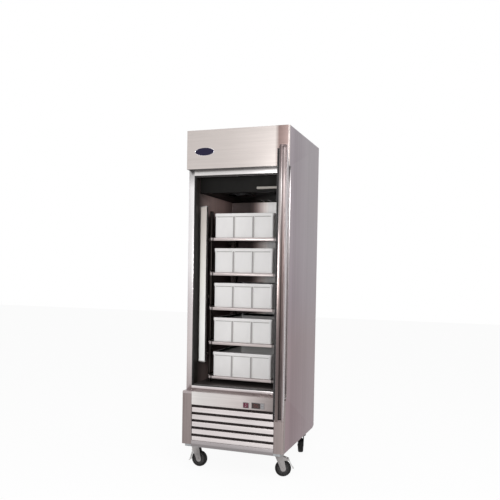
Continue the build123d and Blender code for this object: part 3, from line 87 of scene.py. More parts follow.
SHEET = 1.2
header_low, header_high = span("header_fascia")
panel_low, panel_high = span("control_panel")
grille_low, grille_high = span("louvre_grille")
side_low = span("side_panel_right")[0]
HALF_WIDTH = header_high.x
ROOF = header_high.z
HEADER_BOTTOM = header_low.z
RECESS = span("door_frame")[0].y
DEPTH = span("back_panel")[1].y
LEDGE_TOP = panel_high.z
CONTROL_BOTTOM = panel_low.z
PANEL_FRONT = panel_low.y
PANEL_HALF = grille_high.x
UNDERSIDE = grille_low.z
SKIRT_BOTTOM = side_low.z
POST_FRONT = side_low.y - SHEET
SILL_HEIGHT = 28.0
RAIL_HEIGHT = 40.0
print("half width", round(HALF_WIDTH, 2), "depth", round(DEPTH, 2), "roof", round(ROOF, 2))

# %% [markdown]
# ## The turned frames: door and casters
#
# A door is easiest to model while it is shut, and a caster while it points along x. Each gets a matrix that
# takes millimetres in that easy pose to metres in the frame. The pins' places come from the CAD joints, so
# nothing is measured twice.

# %% Frames of the door and the casters
joints = {joint["name"]: joint for joint in frame["joints"]}


def joint_place(name):
    return TO_FRAME.inverted() @ Vector(joints[name]["pos_m"])


hinge = joint_place("door_hinge")
DOOR_OPEN = -joints["door_hinge"]["range_deg"][0]
about_hinge = Matrix.Translation((hinge.x, hinge.y, 0))
DOOR_TO_FRAME = (
    TO_FRAME @ about_hinge @ Matrix.Rotation(math.radians(DOOR_OPEN), 4, "Z") @ about_hinge.inverted()
)
skin_low, skin_high = span("door_skin", DOOR_TO_FRAME)
seal_low, seal_high = span("door_gasket", DOOR_TO_FRAME)
grip_low, grip_high = span("door_grip", DOOR_TO_FRAME)

CORNERS = ("front_left", "front_right", "rear_left", "rear_right")
caster_frames = {}
for corner in CORNERS:
    pin = joint_place(f"swivel_{corner}_turn")
    hub = joint_place(f"wheel_{corner}_roll")
    trail = (hub - pin).xy.length
    heading = math.atan2(hub.y - pin.y, hub.x - pin.x)
    turn = Matrix.Rotation(heading, 4, "Z")
    caster_frames[corner] = (TO_FRAME @ Matrix.Translation((pin.x, pin.y, 0)) @ turn, trail, hub.z)
print("door open", DOOR_OPEN, "degrees; casters", len(caster_frames))

# %% [markdown]
# ## The camera
#
# The photograph was taken from the front and a little to the right, at chest height. Its place, turn and
# focal length came from the straight edges of the cabinet. The picture was cropped off centre, so the
# lens is shifted up a little instead of tilting the camera.

# %% Camera
IMAGE = 500
FOCAL_PIXELS = 632.2
SENSOR = 36.0
YAW = 0.3407
PITCH = -0.0278
ROLL = 0.01687
CENTRE_ROW = 290
CAMERA_PLACE = TO_FRAME @ Vector((1392, -3639, 1255))

ahead = Vector((-math.sin(YAW) * math.cos(PITCH), math.cos(YAW) * math.cos(PITCH), math.sin(PITCH)))
level_right = Vector((math.cos(YAW), math.sin(YAW), 0))
level_up = level_right.cross(ahead)
right = level_right * math.cos(ROLL) + level_up * math.sin(ROLL)
up = level_up * math.cos(ROLL) - level_right * math.sin(ROLL)
camera_data = bpy.data.cameras.new("photo_camera")
camera_data.sensor_width = SENSOR
camera_data.lens = FOCAL_PIXELS / IMAGE * SENSOR
camera_data.shift_y = (CENTRE_ROW - IMAGE / 2) / IMAGE
camera = bpy.data.objects.new("photo_camera", camera_data)
bpy.context.scene.collection.objects.link(camera)
facing = Matrix((right, up, -ahead)).transposed().to_4x4()
camera.matrix_world = Matrix.Translation(CAMERA_PLACE) @ facing
bpy.context.scene.camera = camera
print("lens", round(camera_data.lens, 2), "shift", camera_data.shift_y)

# %% [markdown]
# ## Helpers for materials
#
# A procedural material is a small graph of nodes. These helpers make a node and set its values, so that
# each finish below stays a few readable lines. Every pattern reads Object coordinates, which stay put
# because each piece keeps its object at the origin.

# %% Material helpers
def add(tree, kind, **values):
    """A new node; names that start with i__ set an input, such as i__Scale, the rest a property."""
    made = tree.nodes.new(kind)
    for name, value in values.items():
        if name.startswith("i__"):
            made.inputs[name[3:].replace("_", " ")].default_value = value
        else:
            setattr(made, name, value)
    return made


def new_material(name, colour, metallic, roughness, specular):
    """A material whose shader has plain values; returns it with its tree and shader."""
    material = bpy.data.materials.new(name)
    material.use_nodes = True
    tree = material.node_tree
    shader = tree.nodes["Principled BSDF"]
    shader.inputs["Base Color"].default_value = (*colour, 1)
    shader.inputs["Metallic"].default_value = metallic
    shader.inputs["Roughness"].default_value = roughness
    shader.inputs["Specular IOR Level"].default_value = specular
    material.diffuse_color = (*colour, 1)
    return material, tree, shader


print("new materials use the Principled shader")

# %% [markdown]
# ## Patterns for materials
#
# A pattern is a chain: noise or a place along an axis gives 0 to 1, a ramp turns that into colours or a
# range of numbers, and the shader takes the result. Each link of the chain is one short function.

# %% Patterns
def object_noise(tree, scale, detail=3.0, roughness=0.5):
    """Noise on Object coordinates, stretched by a different scale on each axis."""
    place = add(tree, "ShaderNodeTexCoord")
    mapping = add(tree, "ShaderNodeMapping")
    mapping.inputs["Scale"].default_value = scale
    noise = add(tree, "ShaderNodeTexNoise", i__Scale=1.0, i__Detail=detail, i__Roughness=roughness)
    tree.links.new(place.outputs["Object"], mapping.inputs["Vector"])
    tree.links.new(mapping.outputs["Vector"], noise.inputs["Vector"])
    return noise.outputs["Fac"]


def stops(tree, source, rows):
    """Turns a 0 to 1 pattern into a blend of colours, given as (position, colour or grey level)."""
    made = add(tree, "ShaderNodeValToRGB")
    elements = made.color_ramp.elements
    while len(elements) < len(rows):
        elements.new(0.5)
    for element, (position, colour) in zip(elements, rows):
        element.position = position
        element.color = (*colour, 1) if isinstance(colour, tuple) else (colour, colour, colour, 1)
    tree.links.new(source, made.inputs["Fac"])
    return made.outputs["Color"]


def ramp(tree, source, low, high, start=0.3, end=0.7):
    """Turns a 0 to 1 pattern into a blend of two colours or grey levels."""
    return stops(tree, source, ((start, low), (end, high)))


def remap(tree, source, low, high, start=0.3, end=0.7):
    """Turns a 0 to 1 pattern into a range of numbers."""
    made = add(tree, "ShaderNodeMapRange")
    made.inputs["From Min"].default_value = start
    made.inputs["From Max"].default_value = end
    made.inputs["To Min"].default_value = low
    made.inputs["To Max"].default_value = high
    tree.links.new(source, made.inputs["Value"])
    return made.outputs["Result"]


def along(tree, axis, low, high):
    """Goes from 0 to 1 between two places on an axis of the object, in metres."""
    place = add(tree, "ShaderNodeTexCoord")
    parts = add(tree, "ShaderNodeSeparateXYZ")
    tree.links.new(place.outputs["Object"], parts.inputs["Vector"])
    return remap(tree, parts.outputs[axis], 0.0, 1.0, low, high)


def multiply(tree, one, other):
    """Multiplies two colours."""
    made = add(tree, "ShaderNodeMix", data_type="RGBA", blend_type="MULTIPLY")
    made.inputs["Factor"].default_value = 1.0
    tree.links.new(one, made.inputs["A"])
    tree.links.new(other, made.inputs["B"])
    return made.outputs["Result"]


def bump(tree, shader, source, distance):
    """Lets a pattern stand up from the surface by a distance in metres."""
    made = add(tree, "ShaderNodeBump", i__Strength=1.0, i__Distance=distance)
    tree.links.new(source, made.inputs["Height"])
    tree.links.new(made.outputs["Normal"], shader.inputs["Normal"])


print("pattern helpers ready")

# %% [markdown]
# ## Brushed stainless steel
#
# Brushed steel is rolled in one direction, so its fine scratches are long one way and a fraction of a
# millimetre the other way. We stretch noise to draw them, and use the same noise for the colour, the
# roughness and a very shallow bump. A second, slow noise gives the cloudy bands that a wiped panel has.

# %% Brushed steel
ALONG_X = (5.0, 1300.0, 1300.0)
ALONG_Z = (1300.0, 1300.0, 5.0)
BAND_WIDTH = 22
CLOUD_SCALE = (2.3, 2.3, 1.7)
SCRATCH_DEPTH = 0.00002
FULL_SPECULAR = 0.5
DULL_SPECULAR = 0.15


def brushed_steel(name, dark, light, grain, rough, *tints, cloud=0.12, metal=1.0, band=0.86):
    """A tint is (axis, from, to, rows): painted light and shade, as colours that multiply the steel between two
    places in metres.
    """
    specular = FULL_SPECULAR if metal == 1.0 else DULL_SPECULAR
    material, tree, shader = new_material(name, light, metal, rough[0], specular)
    fine = object_noise(tree, grain, detail=2.0)
    broad = object_noise(tree, [scale / BAND_WIDTH for scale in grain], detail=3.0)
    slow = object_noise(tree, CLOUD_SCALE, detail=2.0)
    streaks = ramp(tree, fine, dark, light, 0.25, 0.75)
    bands = ramp(tree, broad, band, 1.0, 0.3, 0.65)
    clouds = ramp(tree, slow, 1 - cloud, 1.0)
    mixed = multiply(tree, multiply(tree, streaks, bands), clouds)
    for axis, start, end, rows in tints:
        mixed = multiply(tree, mixed, stops(tree, along(tree, axis, start, end), rows))
    tree.links.new(mixed, shader.inputs["Base Color"])
    tree.links.new(remap(tree, fine, *rough), shader.inputs["Roughness"])
    bump(tree, shader, fine, SCRATCH_DEPTH)
    return material


print("scratches", round(ALONG_X[1] / ALONG_X[0]), "times longer than wide")

# %% [markdown]
# ## Sheets that change along their length
#
# A long sheet isn't evenly bright: the light and shade on it and what it mirrors change from one end to the
# other, and a tint paints them in. A tint multiplies the steel by a few colours between two places on one axis.
# The places are written in millimetres from the cabinet's own origin, and these helpers turn them into Object
# metres. The steels below stand for one stainless, and each gets its own painted light and shade in its colour.

# %% Places on an axis
def over_x(left, right):
    return "X", CABINET_X + left * MM, CABINET_X + right * MM


def over_y(front, back):
    return "Y", FACE_Y + front * MM, FACE_Y + back * MM


def over_z(low, high):
    return "Z", low * MM, high * MM


print("the cabinet spans", [round(v, 3) for v in over_x(-HALF_WIDTH, HALF_WIDTH)[1:]], "on X")

# %% [markdown]
# ## Steel of the header, the sides and the door frame
#
# Near its right end the header's face has a painted dark reflection of the open door. The side panels' steel is
# a darker copy, for painted shade, and more painted shade makes them darker and warmer towards the floor and from
# their front edge backwards. The frame strips are painted bright, with painted shade low down and where the header
# shades them at the top, and the head strip has painted shade towards the open door. The sill has painted shade on
# its lower half, and painted shade darkens it towards the open door.

# %% Header, sides and frame
STRIP_HALF = 300.0
# Painted dark reflection of the open door, near the header's right end.
HEADER_DOOR_REFLECTION = (
    *over_x(HALF_WIDTH - 90, HALF_WIDTH),
    ((0.0, 1.0), (0.28, (0.38, 0.30, 0.29)), (0.85, (0.56, 0.46, 0.45)), (1.0, 1.0)),
)
# Painted shade: darker and warmer towards the floor.
SIDE_FLOOR_SHADE = (
    *over_z(SKIRT_BOTTOM, ROOF),
    ((0.0, (0.88, 0.73, 0.73)), (0.33, (0.90, 0.77, 0.75)), (0.48, (0.91, 0.84, 0.86)),
     (0.66, (1.0, 0.97, 0.98)), (1.0, 1.0)),
)
# Painted light and shade: darker from the front edge backwards.
SIDE_EDGE_LIGHT_AND_SHADE = (*over_y(15, 140), ((0.0, 1.0), (0.4, 0.93), (1.0, 0.78)))
# Painted shade low down and under the header, painted light in between.
STILE_LIGHT_AND_SHADE = (
    *over_z(LEDGE_TOP, HEADER_BOTTOM),
    ((0.0, (0.50, 0.45, 0.45)), (0.16, (0.72, 0.67, 0.66)), (0.40, (0.76, 0.72, 0.73)), (0.58, 1.0),
     (0.92, 1.0), (0.97, 0.62), (1.0, 0.45)),
)
# Painted shade towards the open door.
HEAD_DOOR_SHADE = (*over_x(-STRIP_HALF, STRIP_HALF), ((0.0, 1.0), (0.5, 0.95), (1.0, 0.72)))
# Painted shade on the sill's lower half, painted light above it.
SILL_LIGHT_AND_SHADE = (
    *over_z(LEDGE_TOP, LEDGE_TOP + SILL_HEIGHT),
    ((0.0, (0.46, 0.42, 0.42)), (0.35, (0.33, 0.29, 0.29)), (0.48, (0.90, 0.85, 0.85)), (1.0, 1.0)),
)
# Painted shade towards the open door.
SILL_DOOR_SHADE = (*over_x(-STRIP_HALF, STRIP_HALF), ((0.0, 1.0), (0.45, 0.9), (1.0, 0.40)))
steel_front = brushed_steel(
    "steel_front", (0.55, 0.50, 0.475), (0.67, 0.61, 0.585), ALONG_X, (0.30, 0.40), HEADER_DOOR_REFLECTION,
    cloud=0.08, band=0.95,
)
# A darker copy of the steel, for the painted shade of the sides.
steel_side = brushed_steel(
    "steel_side", (0.35, 0.31, 0.335), (0.43, 0.375, 0.41), ALONG_Z, (0.36, 0.46), SIDE_FLOOR_SHADE,
    SIDE_EDGE_LIGHT_AND_SHADE, cloud=0.08,
)
# A brighter copy of the steel, for painted light.
steel_frame = brushed_steel(
    "steel_frame", (0.86, 0.83, 0.83), (0.97, 0.95, 0.95), ALONG_Z, (0.24, 0.34), STILE_LIGHT_AND_SHADE, cloud=0.04
)
steel_head = brushed_steel(
    "steel_head", (0.70, 0.67, 0.66), (0.84, 0.81, 0.80), ALONG_X, (0.26, 0.36), HEAD_DOOR_SHADE, cloud=0.1
)
steel_sill = brushed_steel(
    "steel_sill", (0.80, 0.75, 0.75), (0.97, 0.92, 0.92), ALONG_X, (0.26, 0.36), SILL_LIGHT_AND_SHADE,
    SILL_DOOR_SHADE, cloud=0.1,
)
steel_rear = brushed_steel("steel_rear", (0.40, 0.39, 0.38), (0.52, 0.51, 0.50), ALONG_Z, (0.38, 0.50))
print("steels made", len(bpy.data.materials))

# %% [markdown]
# ## Steel of the front below the door
#
# The control panel and the louvres face the camera, so they get the brightest painted light of these sheets, and
# painted shade darkens the panel towards the open door. The posts and the ends of the ledge over them are painted
# darker, for their shade, the rail has painted shade on its lower bend, and the soffit and the blades behind the
# slots are painted near black, for the shade that they are in.

# %% Control panel, louvres, rail and posts
# Painted shade towards the open door.
PANEL_DOOR_SHADE = (
    *over_x(-PANEL_HALF, PANEL_HALF),
    ((0.0, 0.92), (0.1, 0.84), (0.6, (0.72, 0.68, 0.68)), (0.8, (0.52, 0.48, 0.48)),
     (1.0, (0.30, 0.27, 0.27))),
)
RAIL_TINT = (
    *over_z(UNDERSIDE, UNDERSIDE + RAIL_HEIGHT),
    ((0.0, 0.95), (0.15, 0.66), (0.4, 0.72), (0.6, 1.0), (1.0, 1.0)),
)
steel_panel = brushed_steel(
    "steel_panel", (0.80, 0.76, 0.74), (0.92, 0.89, 0.87), ALONG_X, (0.28, 0.38), PANEL_DOOR_SHADE, cloud=0.06
)
steel_rail = brushed_steel(
    "steel_rail", (0.37, 0.34, 0.345), (0.52, 0.48, 0.485), ALONG_X, (0.32, 0.42), RAIL_TINT, cloud=0.1
)
steel_slats = brushed_steel("steel_slats", (0.72, 0.66, 0.655), (0.86, 0.80, 0.79), ALONG_X, (0.26, 0.36))
# A darker copy of the steel, for painted shade on the ledge ends.
steel_cap_shade = brushed_steel("steel_cap_shade", (0.40, 0.34, 0.34), (0.54, 0.48, 0.48), ALONG_X, (0.26, 0.36))
# A darker copy of the steel, for the posts' painted shade.
steel_post_shade = brushed_steel("steel_post_shade", (0.24, 0.195, 0.19), (0.39, 0.335, 0.325), ALONG_Z, (0.38, 0.5))
# Near black, for painted shade under the header and behind the slots.
steel_painted_shade = brushed_steel("steel_painted_shade", (0.05, 0.04, 0.04), (0.09, 0.08, 0.08), ALONG_X, (0.4, 0.5))
print("steels made", len(bpy.data.materials))

# %% [markdown]
# ## Steel of the door
#
# The door stands almost edge on to the camera. Its narrow edges mirror the space beside the camera, which
# is brightest high up, so they get a painted reflection of their own from bottom to top. The narrow edges of the
# inner pan get painted shade from bottom to top. The broad outer face and the inner pan look different again, and
# get a plainer steel.

# %% Door skin, face and pan
# Painted reflection on the door's narrow edges, from bottom to top.
DOOR_TINT = (
    *over_z(510, 1890),
    ((0.0, (0.62, 0.57, 0.57)), (0.15, (0.58, 0.53, 0.53)), (0.45, (0.82, 0.77, 0.77)), (0.62, 1.0),
     (0.86, 1.0), (0.94, (0.66, 0.60, 0.60)), (1.0, (0.50, 0.44, 0.44))),
)
# Painted shade on the pan's narrow edges, from bottom to top.
PAN_EDGE_SHADE = (
    *over_z(510, 1890),
    ((0.0, (0.36, 0.31, 0.30)), (0.15, (0.25, 0.21, 0.21)), (0.3, (0.30, 0.25, 0.25)),
     (0.45, (0.38, 0.33, 0.32)), (0.56, (0.36, 0.33, 0.33)), (0.70, (0.34, 0.32, 0.32)), (0.86, 0.5),
     (0.92, (0.30, 0.27, 0.27)), (1.0, (0.24, 0.20, 0.20))),
)
steel_door = brushed_steel(
    "steel_door", (0.38, 0.335, 0.335), (0.50, 0.45, 0.45), ALONG_Z, (0.14, 0.20), DOOR_TINT, cloud=0.08
)
steel_pan = brushed_steel(
    "steel_pan", (0.50, 0.465, 0.455), (0.62, 0.58, 0.57), ALONG_Z, (0.25, 0.34), PAN_EDGE_SHADE, cloud=0.08
)
steel_face = brushed_steel("steel_face", (0.42, 0.385, 0.39), (0.54, 0.50, 0.505), ALONG_Z, (0.18, 0.26))
steel_inside = brushed_steel(
    "steel_inside", (0.66, 0.64, 0.64), (0.82, 0.80, 0.80), ALONG_Z, (0.30, 0.40), metal=0.75
)
print("steels made", len(bpy.data.materials))

# %% [markdown]
# ## Steel of the cold space
#
# Most of the inside lies in shade, and the tints paint it in: the back wall gets painted light at its right half,
# where the open door lets light in, and the left wall behind its front edge and near the top, with painted shade
# elsewhere. The floor, the ceiling and the rack are painted near black, for their shade. A lower metallic value
# keeps these walls from mirroring the white world. Each shelf has painted shade near both of its ends.

# %% Liner, shelves and rack
# Painted light on the right half of the back wall, painted shade on the left.
BACK_LIGHT_AND_SHADE = (
    *over_x(-292, 0),
    ((0.0, (0.035, 0.022, 0.021)), (0.48, (0.025, 0.015, 0.014)), (0.56, (0.06, 0.04, 0.038)),
     (0.64, (0.18, 0.135, 0.13)), (0.72, (0.40, 0.33, 0.32)), (0.80, (0.66, 0.58, 0.57)),
     (0.88, (0.87, 0.81, 0.79)), (1.0, 1.0)),
)
# Painted light behind the wall's front edge, painted shade at the front and back.
WALL_LIGHT_AND_SHADE = (
    *over_y(100, 690),
    ((0.0, (0.06, 0.055, 0.05)), (0.2, (0.7, 0.57, 0.55)), (0.4, (1.0, 0.80, 0.77)), (0.7, (0.8, 0.6, 0.58)),
     (1.0, (0.30, 0.22, 0.215))),
)
# Painted shade low on the wall, painted light near the top.
WALL_HEIGHT_LIGHT_AND_SHADE = (*over_z(500, 1700), ((0.0, 0.35), (0.2, 0.20), (0.93, 0.16), (0.97, 1.0), (1.0, 1.0)))
# Painted shade near both ends of each shelf.
SHELF_END_SHADE = (
    *over_x(-221, 221),
    ((0.0, 0.9), (0.022, 0.9), (0.030, 0.12), (0.042, 0.14), (0.050, 1.0), (0.955, 1.0), (0.965, 0.25),
     (1.0, 0.4)),
)
steel_back = brushed_steel(
    "steel_back", (0.84, 0.82, 0.81), (0.96, 0.94, 0.93), ALONG_Z, (0.3, 0.4), BACK_LIGHT_AND_SHADE, cloud=0.1, metal=0.3
)
steel_wall = brushed_steel(
    "steel_wall", (0.76, 0.70, 0.68), (0.90, 0.84, 0.82), ALONG_Z, (0.3, 0.4), WALL_LIGHT_AND_SHADE, WALL_HEIGHT_LIGHT_AND_SHADE,
    cloud=0.1, metal=0.3,
)
# Near black, for painted shade on the floor and ceiling.
steel_floor_shade = brushed_steel(
    "steel_floor_shade", (0.05, 0.04, 0.04), (0.08, 0.07, 0.065), ALONG_X, (0.3, 0.4), metal=0.5
)
steel_shelf = brushed_steel(
    "steel_shelf", (0.46, 0.40, 0.39), (0.62, 0.56, 0.55), ALONG_X, (0.26, 0.38), SHELF_END_SHADE, cloud=0.1
)
# Near black, for painted shade on the rack.
steel_rack_shade = brushed_steel("steel_rack_shade", (0.03, 0.025, 0.022), (0.06, 0.05, 0.046), ALONG_Z, (0.34, 0.46))
print("steels made", len(bpy.data.materials))

# %% [markdown]
# ## Plastics, rubber and small metals
#
# Moulded plastic has a fine grain from its mould and a slightly uneven gloss. One helper makes them all:
# a small noise for the grain, and a large one that darkens the colour a little where hands and water
# leave their marks.

# %% Moulded finish
STAIN_SCALE = (14.0, 14.0, 9.0)


def moulded(name, colour, roughness, grain, depth, wear, metallic=0.0, specular=FULL_SPECULAR, tint=None):
    """grain is the scale of the mould's texture, depth its height in metres, wear how far stains darken."""
    material, tree, shader = new_material(name, colour, metallic, roughness, specular)
    grain_noise = object_noise(tree, (grain,) * 3, detail=2.0)
    slow = object_noise(tree, STAIN_SCALE, detail=4.0, roughness=0.6)
    dark = tuple(c * (1 - wear) for c in colour)
    mixed = ramp(tree, slow, dark, colour, 0.3, 0.6)
    if tint:
        axis, start, end, rows = tint
        mixed = multiply(tree, mixed, stops(tree, along(tree, axis, start, end), rows))
    tree.links.new(mixed, shader.inputs["Base Color"])
    tree.links.new(remap(tree, slow, roughness + 0.07, roughness - 0.03), shader.inputs["Roughness"])
    bump(tree, shader, grain_noise, depth)
    return material


print("stains are", round(1000 / STAIN_SCALE[0]), "mm wide")

# %% [markdown]
# ## Crates, lamps, strips and the door's channel
#
# The crates are white polyethylene. The lamp cover gets painted light from the floor, brightest low down, and the
# strips round the opening and the finger channel get painted light and shade, fading into the dark. The right side
# of the lamp is painted near black, for its shade.

# %% Plastics that the camera sees most
# Painted shade in the finger channel, darkest low down.
CHANNEL_SHADE = (
    *over_z(skin_low.z, skin_high.z),
    ((0.0, (0.03, 0.024, 0.024)), (0.35, (0.05, 0.034, 0.032)), (0.62, (0.15, 0.11, 0.105)),
     (0.86, (0.36, 0.31, 0.31)), (1.0, (0.26, 0.22, 0.22))),
)
# Painted light from the floor on the lamp cover, brightest low down.
LAMP_FLOOR_LIGHT = (
    *over_z(900, 1800),
    ((0.0, 1.0), (0.4, (0.86, 0.84, 0.80)), (0.75, (0.62, 0.57, 0.54)), (0.9, (0.55, 0.5, 0.47)),
     (1.0, (0.34, 0.32, 0.30))),
)
# Painted light at the front of the side strips, painted shade behind.
BREAKER_SIDE_LIGHT_AND_SHADE = (
    *over_y(43, 64),
    ((0.0, 1.0), (0.25, 0.45), (0.6, 0.14), (1.0, 0.10)),
)
# Painted shade at the front of the level strips, painted light behind.
BREAKER_LEVEL_LIGHT_AND_SHADE = (
    *over_y(43, 64),
    ((0.0, 0.10), (0.35, 0.14), (0.55, 0.9), (1.0, 1.0)),
)
crate_plastic = moulded("crate_plastic", (0.72, 0.705, 0.70), 0.45, 420.0, 0.00005, 0.05)
crate_shade = moulded("crate_shade", (0.33, 0.315, 0.31), 0.5, 420.0, 0.00005, 0.1)
lamp_cover = moulded("lamp_cover", (0.84, 0.84, 0.82), 0.35, 700.0, 0.00002, 0.04, tint=LAMP_FLOOR_LIGHT)
lamp_metal = moulded("lamp_metal", (0.30, 0.29, 0.28), 0.4, 1100.0, 0.00003, 0.08, 0.9)
strip_side = moulded("strip_side", (0.085, 0.080, 0.080), 0.5, 600.0, 0.00004, 0.1, tint=BREAKER_SIDE_LIGHT_AND_SHADE)
strip_level = moulded("strip_level", (0.12, 0.11, 0.11), 0.5, 600.0, 0.00004, 0.1, tint=BREAKER_LEVEL_LIGHT_AND_SHADE)
# Near black, for the painted shade on the lamp's right side.
lamp_side_shade = moulded("lamp_side_shade", (0.05, 0.048, 0.045), 0.5, 1100.0, 0.00003, 0.08)
grip_plastic = moulded("grip_plastic", (0.60, 0.58, 0.57), 0.4, 700.0, 0.00005, 0.12, 0.8, tint=CHANNEL_SHADE)
print("materials made", len(bpy.data.materials))

# %% [markdown]
# ## Rubber, near-black parts and controls
#
# Rubber is almost black and rough, because a brighter one would look like grey plastic. The display is
# smooth dark plastic, and its digits and the rocker are deep reds that take little light.

# %% Rubber, near-black parts and controls
rubber_seal = moulded("rubber_seal", (0.022, 0.020, 0.021), 0.62, 500.0, 0.00006, 0.2)
tyre_rubber = moulded("tyre_rubber", (0.009, 0.008, 0.008), 0.62, 520.0, 0.00008, 0.3, 0.0, 0.2)
wheel_hub = moulded("wheel_hub", (0.045, 0.043, 0.043), 0.5, 700.0, 0.00005, 0.2, 0.0, 0.3)
# Painted shade: the rear caster forks are near black, though the real ones are plated like the front ones.
fork_painted_shade = moulded("fork_painted_shade", (0.016, 0.015, 0.015), 0.45, 260.0, 0.00006, 0.25, 0.0, 0.3)
# The cooler housing is near black.
cooler_near_black = moulded("cooler_near_black", (0.005, 0.0045, 0.004), 0.6, 900.0, 0.00004, 0.2, 0.0, 0.15)
control_plastic = moulded("control_plastic", (0.25, 0.235, 0.24), 0.45, 900.0, 0.00004, 0.1)
key_plastic = moulded("key_plastic", (0.30, 0.30, 0.31), 0.45, 1000.0, 0.00004, 0.1)
glass_dark = moulded("glass_dark", (0.030, 0.014, 0.012), 0.12, 300.0, 0.000004, 0.1)
digit_red = moulded("digit_red", (0.12, 0.010, 0.010), 0.4, 900.0, 0.00001, 0.1)
rocker_red = moulded("rocker_red", (0.10, 0.008, 0.028), 0.4, 900.0, 0.00002, 0.12, 0.0, 0.3)
mark_white = moulded("mark_white", (0.62, 0.52, 0.54), 0.5, 900.0, 0.00001, 0.05)
badge_enamel = moulded("badge_enamel", (0.007, 0.005, 0.026), 0.3, 200.0, 0.00001, 0.15, 0.0, 0.25)
print("materials made", len(bpy.data.materials))

# %% [markdown]
# ## Small metals and inner materials
#
# Zinc plating is grey and blotchy, so its stains are strong. The rest shows only through slots and on the
# back, but each still gets the colour and gloss that it has in a real machine.

# %% Small metals, machinery and foam
zinc = moulded("zinc", (0.36, 0.34, 0.335), 0.28, 260.0, 0.0001, 0.45, 1.0)
pedal_zinc = moulded("pedal_zinc", (0.60, 0.59, 0.58), 0.34, 300.0, 0.00006, 0.25, 1.0)
hinge_metal = moulded("hinge_metal", (0.50, 0.49, 0.48), 0.32, 400.0, 0.00004, 0.2, 1.0)
galvanised = moulded("galvanised", (0.40, 0.41, 0.42), 0.45, 60.0, 0.00005, 0.3, 0.9)
fin_metal = moulded("fin_metal", (0.50, 0.51, 0.52), 0.38, 500.0, 0.00004, 0.15, 0.95)
copper_tube = moulded("copper_tube", (0.70, 0.32, 0.19), 0.3, 200.0, 0.00003, 0.3, 1.0)
motor_enamel = moulded("motor_enamel", (0.022, 0.022, 0.024), 0.4, 500.0, 0.00008, 0.3)
fan_plastic = moulded("fan_plastic", (0.05, 0.05, 0.055), 0.45, 800.0, 0.00004, 0.2)
foam_board = moulded("foam_board", (0.72, 0.62, 0.40), 0.85, 350.0, 0.0003, 0.2)
bush_plastic = moulded("bush_plastic", (0.55, 0.54, 0.52), 0.45, 800.0, 0.00004, 0.1)
badge_rim = moulded("badge_rim", (0.75, 0.74, 0.78), 0.25, 500.0, 0.00002, 0.1, 1.0)
print("materials made", len(bpy.data.materials))

# %% [markdown]
# ## Helpers for pieces
#
# A bmesh is a mesh that can be edited step by step. When a piece is finished, it is set down as an object
# that rides on its CAD body and stands for its CAD nodes. Smooth shading stops at edges that turn sharply.
# A piece made of several parts gets each one in a bmesh of its own first, and then joins them.

# %% Setting a piece down
SMOOTH_ANGLE = math.radians(32)


def set_down(name, bm, materials, node, to_frame=TO_FRAME):
    """Makes the piece, in place of a CAD node, from a bmesh in millimetres."""
    bm.transform(to_frame)
    mesh = bpy.data.meshes.new(name)
    bm.to_mesh(mesh)
    bm.free()
    for material in materials:
        mesh.materials.append(material)
    mesh.shade_smooth()
    mesh.set_sharp_from_angle(angle=SMOOTH_ANGLE)
    piece = bpy.data.objects.new(name, mesh)
    bpy.context.scene.collection.objects.link(piece)
    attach(piece, body_of_node[node])
    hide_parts(node)


def join_mesh(bm, other, matrix=None, material_index=None):
    """Adds another bmesh to this one, placed and with a material slot if they are given, and frees it."""
    if matrix is not None:
        other.transform(matrix)
    if material_index is not None:
        for face in other.faces:
            face.material_index = material_index
    kept = bpy.data.meshes.new("kept")
    other.to_mesh(kept)
    other.free()
    bm.from_mesh(kept)
    bpy.data.meshes.remove(kept)


print("smooth up to", round(math.degrees(SMOOTH_ANGLE)), "degrees")

# %% [markdown]
# ## Blocks and folded sheets
#
# Each helper does one maker's job: break the edges, cut a block, or fold a sheet along a profile. Real sheet
# metal never has a razor edge, and the small round catches the light. A sheet starts as a surface without
# thickness, which is turned to face outwards before Solidify grows its wall inwards.

# %% Blocks and folded sheets
SHARP = math.radians(35)


def round_edges(bm, width, segments=2, edges=None):
    """Rounds the given edges, or all sharp ones."""
    if edges is None:
        edges = [e for e in bm.edges if len(e.link_faces) == 2 and e.calc_face_angle(0) > SHARP]
    bmesh.ops.bevel(
        bm, geom=edges, offset=width, offset_type="OFFSET", segments=segments, profile=0.5,
        affect="EDGES", clamp_overlap=True, material=-1,
    )


def cut_block(bm, low, high, width=0.0, segments=2, material_index=0):
    """A block between two corners, all its edges rounded by a width."""
    low = Vector(low)
    high = Vector(high)
    work = bmesh.new()
    place = Matrix.Translation((low + high) / 2) @ Matrix.Diagonal((*(high - low), 1))
    bmesh.ops.create_cube(work, size=1.0, matrix=place)
    if width:
        round_edges(work, width, segments, edges=work.edges[:])
    join_mesh(bm, work, material_index=material_index)


def grow_wall(bm, inside, thickness):
    """Turns an open surface to face away from a point inside, and gives it a wall towards that point."""
    bmesh.ops.recalc_face_normals(bm, faces=bm.faces)
    facing = sum((face.calc_center_median() - Vector(inside)).dot(face.normal) for face in bm.faces)
    if facing < 0:
        bmesh.ops.reverse_faces(bm, faces=bm.faces)
    bmesh.ops.solidify(bm, geom=bm.faces[:], thickness=thickness)


